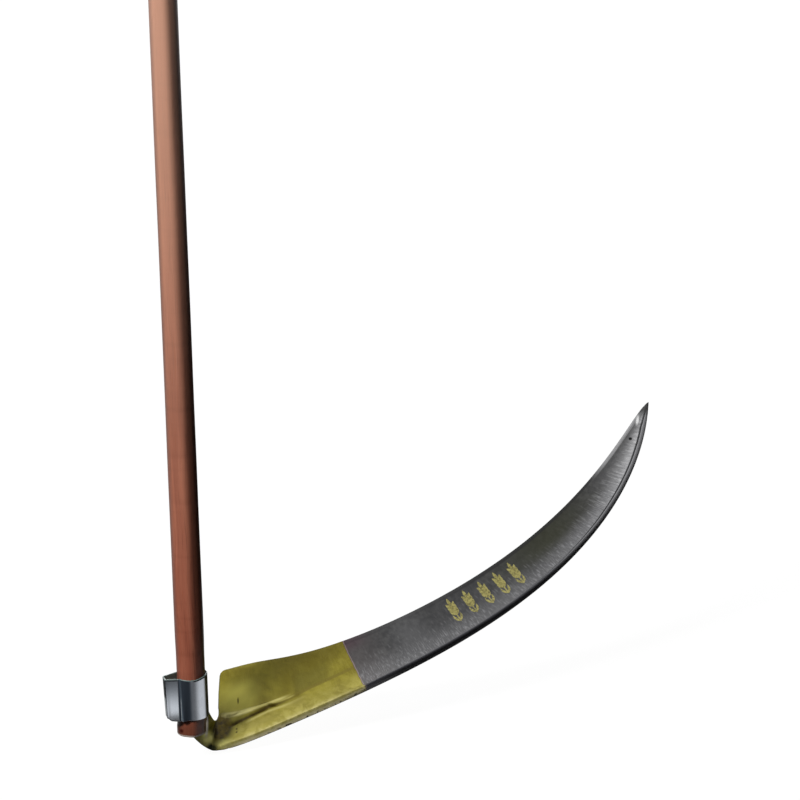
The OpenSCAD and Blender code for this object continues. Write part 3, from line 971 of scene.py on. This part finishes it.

# Painted shade over a brown stain in the hollow at the heel, painted shade on the neck under the
# ring, and painted light on the neck's flank and on the strip beside the pole's foot
hollow_shade_and_stain = inks(rise(lumps, 0.40, 0.60), "322700", "5c4e02")
gold = colour_mix(spot(-1, 19, 31, 27, 3.0), gold, hollow_shade_and_stain)
x, _, z = parts_of(where)
from_axis, over_foot = x * 1000, z * 1000 - FOOT_Z
flank_painted_light = hump(from_axis, 16.5, 10) * hump(over_foot, -16.5, 15)
strip = hump(over_foot * -0.04 + from_axis, 15.8, 3) * hump(over_foot, 3, 22)
pits = spot(18.6, 1.7, 21.5, 1.7, 1.4) + spot(18.4, 1.7, 16.6, 1.9, 1.4)
chips = rise(noise(where, 170, 3), 0.54, 0.60) * rise(across, 1.4, 0.5) * rise(along, 30, 90)
gold = lay(
    gold,
    (spot(-12, 13, 46, 18, 1.2), "3a3a12"),
    (clamped(flank_painted_light * 1.8), "f0ea90"),
    (spot(-8, 7, 1.5, 6, 1.8), "2c2f14"),
    (clamped(strip * 2.6), "fff8ee"),
    # a painted highlight on the heel's rounded bottom
    (spot(3, 12, 6, 8, 1.0), "b1ac5f"),
    # a slit and two pits, then a painted highlight along the lower rim with its chips, and
    # painted shade on the rim's outer face
    (spot(22, 1.4, 62, 6, 1.5), "463c04"),
    (pits, "3d3405"),
    (rise(across, 3, 0.8, 0.0, 0.85) * rise(along, 0, 30), "e6dcae"),
    (chips, "3c382a"),
    (rise(across, 0.6, 0.1) * 0.4, "4a4423"))
print("paint wired,", len(tree.nodes), "nodes")

# %% Bare steel of the blade
mottle = noise(where, 150, 5, 0.65)
cloud = noise(where, 20, 3, 0.5)
fibre = streaks(0.76, 0.12, 3)
grind = streaks(0.42, 0.06, 4, 0.5)
rib_side = rise(edge_share, 0.60, 0.16, 0.0, 1.0)
ground_off = rise(along, 500, 620) * rise(edge_share, 0.80, 0.42)
dark_edge = rise(along, 640, 590, 0.0, 0.8) * rise(along, 300, 420, 0.4, 1.0)
full_width = calc("MAXIMUM", edge_share, 0.001)
to_hole = distance(along - TIP_HOLE_PLACE[0], across - TIP_HOLE_PLACE[1])
bevel = rise(across / full_width - across, BEVEL_W + 1, BEVEL_W - 0.2)
over_rib = across - calc("MINIMUM", across * 0.25 / full_width, RIB_W)
steel = inks(rise(mottle, 0.35, 0.68), "363637", "464646")
steel = lay(
    steel,
    # clouds, warmer steel and rust next to the paint, and an olive cast half way
    (rise(cloud, 0.40, 0.65, 0.0, 0.5), "363637"),
    (rise(along, 260, 190, 0.0, 0.45), "4e4948"),
    (rise(along, 235, 190) * rise(edge_share, 0.70, 0.98, 0.0, 0.7), "46343c"),
    (hump(along, 500, 130) * rise(edge_share, 0.25, 0.70, 0.0, 0.85), "2f3025"),
    # brighter towards the rib and the tip, partly ground bright and partly painted light, with
    # light and dark marks of the grinder
    (rib_side * rise(along, 440, 660, 0.26, 0.85), "6e6e70"),
    (rise(fibre, 0.48, 0.70) * rib_side * 0.42, "909092"),
    (rise(along, 560, 680) * rise(edge_share, 0.85, 0.25, 0.12, 0.72), "909091"),
    (rise(grind, 0.50, 0.66) * ground_off * 0.34, "b0b0b1"),
    (rise(grind, 0.46, 0.34) * ground_off * 0.45, "414142"),
    (dent * rise(along, 300, 600, 0.13, 0.25), "929294"),
    # the dark line along the edge, one light patch, the bevel, a painted highlight as a bright
    # sliver at the tip, and the rib's painted shadow on the web beside it
    (rise(edge_share, 0.90, 0.94) * dark_edge, "1f1f20"),
    (spot(275, 36, 46, 36, 0.35), "606061"),
    (bevel * rise(along, 600, 645, 0.0, 0.9), "7e7e7f"),
    (spot(708.5, 9.5, 11.3, 2.6, 1.5), "c4c4c4"),
    (rise(over_rib, 3, 1.6, 0.0, 0.9), "19191b"))
rib_shade = inks(rise(along, 350, 660), "47474b", "78787a")
outer = rise(across, 0.8, 0.2)
steel = lay(
    colour_mix(rise(over_rib, 0.6, -1), steel, rib_shade),
    # the rib's outer side, the dark tip, the fringe beside the paint, and painted shade in and
    # round the hole
    (outer, "88888a"),
    (rise(along, 713, 724, 0.0, 0.88), "2e2e2d"),
    (fringe * 0.5, "8d7b74"),
    (rise(to_hole, 2.4, 1.7), "101011"))

metal = rise(painted, 0, 1, 0.65, 0.20) * rise(outer, 0, 1, 1.0, 0.2)
dull, bare = rise(strokes, 0.2, 0.8, 0.42, 0.56), rise(mottle, 0.3, 0.7, 0.36, 0.48)
rough = wire(tree, "ShaderNodeMix", {0: painted, 2: bare, 3: dull}, data_type="FLOAT")
relief = (strokes * 0.5 + lumps) * painted + mottle * 0.5
finish_shader(shader, colour_mix(painted, steel, gold), metal, rough, 0.2, relief, 0.00035)
paint(blade, blade_finish)
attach(blade, "blade")
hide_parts("blade")
print("blade finish:", len(tree.nodes), "nodes")

# %% [markdown]
# ## Painted ornament
# Half way along the blade stands a plain row of five ears of barley in worn gold paint. One ear is
# drawn as flat strokes of paint: a stem with two blades of grass, three pairs of grains and one at
# the top. A geometry tree sets it along a line on the web, turns it with the blade, and lowers
# every point onto the forged surface, over the dents.

# %% One ear
def stroke(line, widths):
    """A closed flat stroke of unit thickness along a line of (x, y), as points and faces."""
    line = np.asarray(line, float)
    side = unit(np.gradient(line, axis=0))[:, ::-1] * np.array([-1, 1])
    half = side * np.asarray(widths)[:, None] / 2
    corners = [np.column_stack([edge, np.full(len(line), level)]) for edge, level in (
        (line + half, 1.0), (line - half, 1.0), (line - half, 0.0), (line + half, 0.0))]
    return np.stack(corners, 1).reshape(-1, 3), skin_faces(len(line), len(corners))


STROKE_POINTS = 18


def grain(x, y, lean, length, wide, bend=0.0):
    """A leaf shape from (x, y), leaning by so many degrees to the right and bending further."""
    t = np.linspace(0, 1, STROKE_POINTS)
    a = np.radians(lean + bend * t)
    line = np.stack([x + length * t * np.sin(a), y + length * t * np.cos(a)], -1)
    return line, 0.3 + wide * np.sin(math.pi * t ** 0.85) ** 0.9


t = np.linspace(0, 1, STROKE_POINTS)
stem = np.stack([0 * t, 20.4 * t - 13.4], -1), 1.5 - 0.7 * t
shapes = [stem, grain(0.0, 5.6, 0, 7.6, 2.7)]
shapes += [grain(0.5, y, 30, 7.2, 2.9) for y in (-5.6, -1.7, 2.2)]
shapes += [grain(0.4, -12.6, 48, 8.6, 1.9, -26)]
motif_points, motif_faces = [], []
for number, (line, widths) in enumerate(shapes):
    for mirror in ((1, -1) if number > 1 else (1,)):
        part, part_faces = stroke(np.asarray(line) * [mirror, 1], widths)
        base = sum(len(p) for p in motif_points)
        motif_points.append(part)
        motif_faces += [tuple(base + i for i in face) for face in part_faces]
ear = make_piece("ear", np.vstack(motif_points) * MM, motif_faces)
print("ear of barley:", len(ear.data.polygons), "faces, open edges:", faces_out(ear))

# %% Ornament tree
ORNAMENT_FROM, ORNAMENT_TO = (0.3391, 0.0417), (0.4337, 0.0349)
ORNAMENT = {"Size": 1.30, "Film": 0.00010, "Sunk": 0.00012}
EARS, GUIDE_POINTS, GUIDE_HEIGHT, RAY_LENGTH = 5, 30, 6.0, 0.05
t = np.linspace(0, 1, GUIDE_POINTS)
row_s, row_v = [a + (b - a) * t for a, b in zip(ORNAMENT_FROM, ORNAMENT_TO)]
row_u = row_s * 1000 / BACK_LEN
row_x = np.interp(row_u, shares, back_x) + 1000 * row_v * np.cos(fan(row_u))
row_y = np.interp(row_u, shares, back_y) + 1000 * row_v * np.sin(fan(row_u))
guide_mesh = bpy.data.meshes.new("ornament")
guide_mesh.from_pydata(to_frame(row_x, row_y, GUIDE_HEIGHT).tolist(),
                       [(i, i + 1) for i in range(GUIDE_POINTS - 1)], [])
ornament = new_object("ornament", guide_mesh)

ornament_finish, shader, where = new_finish("worn_gold_paint_finish")
wear = noise(where, 420, 4, 0.65)
finish_shader(shader, inks(rise(wear, 0.34, 0.60), "5a5322", "989050"), 0.15, 0.5, 0.5,
              wear, 0.00005)

tree, given, out = new_tree("ornament_row", ORNAMENT)
curve = wire(tree, "GeometryNodeMeshToCurve", {"Mesh": given["Geometry"]})
curve = wire(tree, "GeometryNodeResampleCurve", {"Curve": curve, "Count": EARS})
curve = store(curve, "onward", wire(tree, "GeometryNodeInputTangent"), "FLOAT_VECTOR")
spots = wire(tree, "GeometryNodeCurveToPoints", {"Curve": curve}, mode="EVALUATED")
onward = read_attribute(tree, "onward", "FLOAT_VECTOR")
turned = wire(tree, "FunctionNodeAxesToRotation", {0: tuple(n_blade), 1: onward},
              primary_axis="Z", secondary_axis="X")
motif = wire(tree, "GeometryNodeObjectInfo", {"Object": ear}, output="Geometry")
height_of = parts_of(wire(tree, "GeometryNodeInputPosition"))[2]
motif = store(motif, "film", height_of * 1000, "FLOAT")
placed = wire(tree, "GeometryNodeInstanceOnPoints", {
    "Points": spots, "Instance": motif, "Rotation": turned, "Scale": given["Size"]})
placed = wire(tree, "GeometryNodeRealizeInstances", {"Geometry": placed})
steel_skin = wire(tree, "GeometryNodeObjectInfo", {"Object": blade}, output="Geometry")
down = add_node(tree, "GeometryNodeRaycast", {
    "Target Geometry": steel_skin, "Ray Direction": tuple(-n_blade), "Ray Length": RAY_LENGTH})
film = read_attribute(tree, "film", "FLOAT")
over = film * (given["Film"] + given["Sunk"]) - given["Sunk"]
laid = wire(tree, "GeometryNodeSetPosition", {
    "Geometry": placed, "Selection": down.outputs["Is Hit"],
    "Position": wire(tree, "ShaderNodeVectorMath", {
        0: down.outputs["Hit Position"], 1: off_blade(over)}, operation="ADD")})
laid = wire(tree, "GeometryNodeSetMaterial", {"Geometry": laid, "Material": ornament_finish})
fill(out, {0: laid})
use_tree(ornament, tree, ORNAMENT)
bpy.data.objects.remove(ear)
print("ornament:", len(ornament.data.polygons), "faces, open edges:", faces_out(ornament))
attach(ornament, "blade")

# %% [markdown]
# ## The ring
# The ring is a strip of galvanised sheet, bent round the pole and the tang, with a flat-sided lobe
# on the left for the wedge. Its outline is a closed line with arcs at the bends. The inner wall is
# the same line moved in by the sheet's thickness, and the lobe's end wall leans in a little
# towards the foot. Where the strip's end lies on the front there is a narrow seam.

# %% Ring outline
RING_Z, RING_H, RING_WALL = 23.0, 52.0, 1.6
RING_OUT = 19.6
# the bend's streak is a painted highlight
STREAK_X = -0.0131           # where the bend's streak stands, in metres
LOBE_REACH, LOBE_FRONT, LOBE_LEAN, LOBE_SLOPE = 34.3, 13.8, 1.9, math.radians(36)
PLATE_LEAN, CUT_LOW, CUT_HIGH = 4.3, 1.0, 3.4
POCKET_HALF, POCKET_BACK = 14.86, 23.9
RING_POINTS = 340
SEAM_DEPTH, RIM_RISE = 0.7, 2.2


def rounded(corners, count=6):
    """A closed line through corners (x, y, radius), each rounded off by its own radius."""
    line = []
    total = len(corners)
    for i, (x, y, radius) in enumerate(corners):
        here = np.array([x, y])
        before = unit(np.array(corners[i - 1][:2]) - here)
        after = unit(np.array(corners[(i + 1) % total][:2]) - here)
        half = math.acos(np.clip(before @ after, -1, 1)) / 2
        if radius == 0 or half > math.radians(89.5):
            line.append(here)
            continue
        reach = radius / math.tan(half)
        centre = here + unit(before + after) * radius / math.sin(half)
        first, last = here + before * reach - centre, here + after * reach - centre
        for k in np.linspace(0, 1, count):
            line.append(centre + unit((1 - k) * first + k * last) * radius)
    return np.array(line)


crease = math.atan2(-LOBE_FRONT, -math.sqrt(RING_OUT ** 2 - LOBE_FRONT ** 2))
pocket_at = math.atan2(math.sqrt(RING_OUT ** 2 - POCKET_HALF ** 2), POCKET_HALF)
arc = [(RING_OUT * math.cos(a), RING_OUT * math.sin(a), 0)
       for a in np.linspace(crease + 0.10, pocket_at - 0.08, 90)]
corners = ([(RING_OUT * math.cos(crease), RING_OUT * math.sin(crease), 0.5)] + arc
           + [(POCKET_HALF, RING_OUT * math.sin(pocket_at), 0.8),
              (POCKET_HALF, POCKET_BACK, 2.6), (-POCKET_HALF, POCKET_BACK, 2.6),
              (-POCKET_HALF, (LOBE_REACH - POCKET_HALF) * math.tan(LOBE_SLOPE) - 1, 1.2),
              (-LOBE_REACH, -1.0, 2.2), (-LOBE_REACH + 2.4, -LOBE_FRONT, 0.7)])
outline = rounded(corners)
closed = np.vstack([outline, outline[:1]])
lengths = np.concatenate([[0], np.cumsum(np.linalg.norm(np.diff(closed, axis=0), axis=1))])
at = np.linspace(0, lengths[-1], RING_POINTS, endpoint=False)
outline = np.stack([np.interp(at, lengths, closed[:, k]) for k in (0, 1)], -1)
print("length of the strip:", round(lengths[-1], 1), "mm")

# %% Ring skin
step = np.roll(outline, -1, 0) - np.roll(outline, 1, 0)
outwards = unit(np.stack([step[:, 1], -step[:, 0]], -1))
seam_at = np.array([RING_OUT * math.cos(crease), RING_OUT * math.sin(crease)]) + [0.3, 0]
to_seam = np.linalg.norm(outline - seam_at, axis=1)
seam = np.exp(-(to_seam / 0.9) ** 2)
rim = [(0.0, 0.55), (0.12, 0.25), (0.35, 0.07), (0.7, 0.0)]
levels = ([(z, inset) for z, inset in rim] + [(z, 0.0) for z in np.linspace(2.5, RING_H - 2.5, 18)]
          + [(RING_H - z, inset) for z, inset in reversed(rim)])
leftward = -outline[:, 0]
rows = []
for inner in (False, True):
    for z, inset in (reversed(levels) if inner else levels):
        low_share = (RING_H - z) / RING_H
        depth = (RING_WALL - inset) if inner else inset
        line = outline - outwards * (depth + (0 if inner else SEAM_DEPTH) * seam)[:, None]
        lean = LOBE_LEAN * low_share * soft(leftward, 20, 33)
        forward = PLATE_LEAN * low_share * soft(leftward, 4, 12) * (outline[:, 1] < -3)
        cut = low_share * (CUT_HIGH * soft(leftward, 25, 32)
                           - CUT_LOW * np.exp(-((leftward - 17) / 7) ** 2))
        raised = RIM_RISE * soft(outline[:, 0], 2, 19) * z / RING_H
        rows.append(np.stack([line[:, 0] + lean, line[:, 1] - forward,
                              RING_Z + FOOT_Z + z + cut + raised], -1))
ring = make_piece("sheet_ring", np.array(rows) * MM,
                  skin_faces(len(rows), RING_POINTS, round_rows=True), sharp=35)
print("ring:", len(ring.data.polygons), "faces, open edges:", faces_out(ring))

# %% [markdown]
# Galvanised sheet has a coat of zinc: bright grey, with large faint crystals. It is a true metal,
# so most of what shows is the mirrored room. Where it is dull, at the bend, on the end wall, on
# the right side and below, it mirrors less. In the bend and on the lobe's plate, a painted
# reflection gives dark bands and a light streak, the right side gets painted shade, and the end
# wall is darker towards its top. Inside, the strip is painted darker as shade, and on its cut
# edges it is dark, so the faces of the inner wall and of the rims get a finish of their own.

# %% Ring finish
ring_finish, shader, where = new_finish("zinc_sheet_finish")
crystal = parts_of(wire(where.tree, "ShaderNodeTexVoronoi", {
    "Vector": where, "Scale": 130.0, "Randomness": 1.0}, output="Color", feature="F1"))[0]
x, _, z = parts_of(where)
normal = parts_of(wire(where.tree, "ShaderNodeNewGeometry", output="Normal"))
# painted shade on the right side, which turns away from the light
shaded_right_side = rise(x, 0.0160, 0.0170)
# painted reflection in the bend: dark bands and a light streak
fold = rise(x, -0.0168, -0.0154) * rise(x, 0.0070, -0.0030)
painted_streak = hump((z + 0.850) * 0.037 + x, STREAK_X, 0.0022)
fold_painted_reflection = lay(inks(painted_streak, "31373f", "56606a"), (rise(x, -0.0040, 0.0040), "585f68"))
end_wall = rise(normal[0], -0.80, -0.95)
under_side = rise(normal[2], -0.15, -0.5)
zinc = lay(
    inks(crystal, "b6bbc2", "bec3ca"),
    (rise(noise(where, 40, 3, 0.5), 0.45, 0.75, 0.0, 0.25), "a9afb7"),
    # painted shade on the right side
    (shaded_right_side, "646a6e"),
    # painted reflection: the lobe's plate darker towards its top
    (rise(x, -0.0125, -0.0150) * rise(z, -0.866, -0.829, 0.0, 0.75), "5f656d"))
zinc = colour_mix(fold, zinc, fold_painted_reflection)
zinc = colour_mix(end_wall, zinc, inks(rise(z, -0.846, -0.853), "33383a", "a3a8ab"))
zinc = lay(zinc, (under_side, "c8ccce"))
matt = calc("MAXIMUM", calc("MAXIMUM", shaded_right_side, fold),
            calc("MAXIMUM", end_wall, under_side))
finish_shader(shader, zinc, rise(matt, 0.0, 1.0, 1.0, 0.15),
              rise(crystal, 0.0, 1.0, 0.09, 0.12), 0.0)
paint(ring, ring_finish)

# the inner wall's darker colour is painted shade, and the cut edges are dark
dull_shaded_finish, shader, where = new_finish("dull_shaded_sheet_finish")
finish_shader(shader, inks(noise(where, 90, 3), "52625f", "6f807d"), 0.2, 0.5, 0.5)
ring.data.materials.append(dull_shaded_finish)
shiny_rows = len(levels) - len(rim) + 1
dull_faces = [face for face in ring.data.polygons
              if not all(v // RING_POINTS < shiny_rows for v in face.vertices)]
for face in dull_faces:
    face.material_index = 1
print("dull faces:", len(dull_faces))
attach(ring, "ring")
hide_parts("ring")
print("ring finish wired")

# %% [markdown]
# ## The pole
# The pole is turned round and stained red brown, then varnished. It is a skin of rings: the foot
# is dressed down for the sheet ring and broken at its lower edge, and a flat and a blind hole for
# the tang are cut from the back as a carpenter would cut them, after the turning.

# %% Pole shape
POLE_R, SEAT_R, POLE_LEN, SEAT_LEN = 17.5, 17.1, 1500.0, 104.0
FLAT_Y, KNOB_HOLE_R = 15.0, 4.55
SIDES = 128
PLANED_DEPTH, PLANED_HALF, PLANED_AT = 0.9, math.radians(30), (248, 308)
FOOT_SHIFT, FOOT_SWELL = 1.9, 0.25       # how the foot sits off the pole's line
profile = [(0.0, SEAT_R - 1.5), (0.25, SEAT_R - 0.95), (0.8, SEAT_R - 0.35), (1.6, SEAT_R)]
profile += [(z, SEAT_R) for z in np.arange(6, SEAT_LEN - 9, 4)]
profile += [(z, SEAT_R + (POLE_R - SEAT_R) * soft(z, SEAT_LEN - 8, SEAT_LEN + 30))
            for z in np.arange(SEAT_LEN - 6, SEAT_LEN + 32, 4)]
profile += [(z, POLE_R) for z in np.arange(SEAT_LEN + 38, POLE_LEN - 4, 8)]
profile += [(POLE_LEN - 3, POLE_R), (POLE_LEN - 1.4, POLE_R - 0.8), (POLE_LEN - 0.4, POLE_R - 2),
            (POLE_LEN, POLE_R - 3.2)]
turns = np.linspace(0, 2 * math.pi, SIDES, endpoint=False)
planed = sum(PLANED_DEPTH * (0.5 + 0.5 * np.cos(math.pi * np.clip(
    (turns - at) / PLANED_HALF, -1, 1))) for at in np.radians(PLANED_AT))
rows = []
for z, radius in profile:
    drift = 0.07 * np.sin(3 * turns + z / 70) + 0.05 * np.sin(2 * turns - z / 31)
    r = radius + drift - 0.08 - planed
    at_foot = soft(20 - z, 0, 9)
    r += FOOT_SWELL * at_foot
    rows.append(np.stack([r * np.cos(turns) - FOOT_SHIFT * at_foot, r * np.sin(turns),
                          np.full(SIDES, z + FOOT_Z)], -1))
pole = make_piece("turned_pole", np.array(rows) * MM, skin_faces(len(rows), SIDES), sharp=30)
faces_out(pole)


def block(name, low, high):
    corners = [(x, y, z) for x in (low[0], high[0]) for y in (low[1], high[1])
               for z in (low[2], high[2])]
    sides = [(0, 1, 3, 2), (4, 6, 7, 5), (0, 4, 5, 1), (2, 3, 7, 6), (0, 2, 6, 4), (1, 5, 7, 3)]
    made = make_piece(name, np.array(corners) * MM, sides)
    faces_out(made)
    return made


combine(pole, block("flat_cutter", (-20, FLAT_Y, FOOT_Z - 5), (20, 25, FOOT_Z + TANG_TOP + 4)),
        "DIFFERENCE")
drill = rod("knob_drill", [KNOB_HOLE_R, KNOB_HOLE_R], [-10, KNOB_LEN + 1],
            (0, FLAT_Y + 0.1, KNOB_Z + FOOT_Z), forwards)
combine(pole, drill, "DIFFERENCE")
smooth_shade(pole, 30)
print("pole:", len(pole.data.polygons), "faces, open edges:", faces_out(pole))

# %% [markdown]
# ## Stained wood
# Wood shows long fine pores along the stem and broad soft bands, and the stain sinks in unevenly.
# Two noises stretched along the pole give the pores and the bands. The ends show the rings of the
# tree, so a third pattern, of rings round the axis, takes over where the face looks along it.

# %% Wood finish
def across_and_up(x, y, z, across_scale, up_scale, *looks):
    """A noise that is stretched along the stem."""
    stem = vector(x * across_scale, y * across_scale, z * up_scale)
    return noise(stem, 1.0, *looks)


def stains_and_painted_light(stain, x, z):
    """The pole's own stain and painted light: paler towards the top as painted light, painted
    shade at both sides, a damp foot that is also darkened as painted shade under the ring, a knot,
    and a pale bottom edge.
    """
    knot = hump(x, -0.0140, 0.0035) * hump(z, -0.8925, 0.0035)
    return lay(
        stain,
        # painted light: paler towards the top
        (rise(z, -0.85, 0.10) * 0.75, "bd937c"),
        # painted shade at the left and the right side
        (rise(x, -0.0115, -0.0172, 0.0, 0.55), "4a3029"),
        (rise(x, 0.0045, 0.0165, 0.0, 0.7), "180805"),
        # the damp foot, darkened also by painted shade under the ring
        (rise(z, -0.868, -0.884) * 0.55, "3a1d12"),
        (clamped(knot * 1.5), "3d0b04"),
        (rise(z, -0.8966, -0.8982, 0.0, 0.9), "cbbdb2"))


def wood_finish(name, dark, middle, light, end_dark, gloss, stains_and_light=None):
    finish, shader, where = new_finish(name)
    x, y, z = parts_of(where)
    bent = noise(where, 3.0, 2) * 0.02 + x
    pores = across_and_up(bent, y, z, 900, 16, 5, 0.65)
    bands = across_and_up(bent, y, z, 110, 5, 3, 0.5, 0.4)
    rungs = across_and_up(x, y, z, 8, 70, 2, 0.5)
    stain = lay(
        inks(rise(bands, 0.32, 0.68), middle, light),
        (rise(pores, 0.50, 0.72, 0.0, 0.55), dark),
        (rise(rungs, 0.50, 0.72, 0.0, 0.13), dark))
    # the pole lays its stain and its painted light and shade over the grain
    if stains_and_light:
        stain = stains_and_light(stain, x, z)
    normal = wire(where.tree, "ShaderNodeNewGeometry", output="Normal")
    rings = calc("SINE", distance(bent + 0.004, y - 0.003) * 2600)
    end = inks(rise(rings, -1, 1), end_dark, middle)
    colour = colour_mix(rise(abs(parts_of(normal)[2]), 0.55, 0.85), stain, end)
    rough = rise(pores, 0.3, 0.8, gloss, gloss + 0.16)
    finish_shader(shader, colour, 0.0, rough, 0.25, pores, 0.00012)
    return finish


paint(pole, wood_finish("stained_wood_finish", "4a1f14", "955440", "a8654e", "3c1e12", 0.26,
                        stains_and_painted_light))
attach(pole, "pole")
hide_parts("pole")
print("pole finished")

# %% [markdown]
# ## The wedge
# The wedge is a small block of plain hardwood that has been driven down into the ring's lobe. Its
# shape is right in the frame, but its edges are too crisp for wood, so a merged copy of it gets
# small bevels, and its head is bruised by the hammer.

# %% Wedge
BEVEL, LONG_EDGE, HEAD_DEPTH, BRUISE = 0.0006, 0.004, 0.0002, 0.0004
SORT_ALONG = Vector((1.0, 17.3, 301.7))

wedge_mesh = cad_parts["wedge"].data.copy()
work = bmesh.new()
work.from_mesh(wedge_mesh)
bmesh.ops.remove_doubles(work, verts=work.verts, dist=1e-6)
bmesh.ops.dissolve_limit(work, angle_limit=math.radians(2), verts=work.verts, edges=work.edges)
bmesh.ops.bevel(work, geom=list(work.edges), offset=BEVEL, segments=2, profile=0.6,
                affect="EDGES")
bmesh.ops.triangulate(work, faces=work.faces)
bmesh.ops.subdivide_edges(work, edges=[e for e in work.edges if e.calc_length() > LONG_EDGE],
                          cuts=3, use_grid_fill=True)
bmesh.ops.recalc_face_normals(work, faces=work.faces)
head = max(v.co.z for v in work.verts)
for v in work.verts:
    if head - v.co.z < HEAD_DEPTH:
        v.co.z -= BRUISE * (1 + math.sin(v.co.x * 1500) * math.cos(v.co.y * 1300))
# Sorted by place, so that the mesh comes out the same in each run
work.verts.sort(key=lambda v: v.co @ SORT_ALONG)
work.faces.sort(key=lambda f: f.calc_center_median() @ SORT_ALONG)
work.to_mesh(wedge_mesh)
work.free()
wedge = new_object("driven_wedge", wedge_mesh)
paint(wedge, wood_finish("plain_wood_finish", "7a5a36", "b08a5c", "c8a577", "8a6840", 0.6))
smooth_shade(wedge, 40)
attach(wedge, "wedge")
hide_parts("wedge")
print("wedge:", len(wedge_mesh.polygons), "faces")
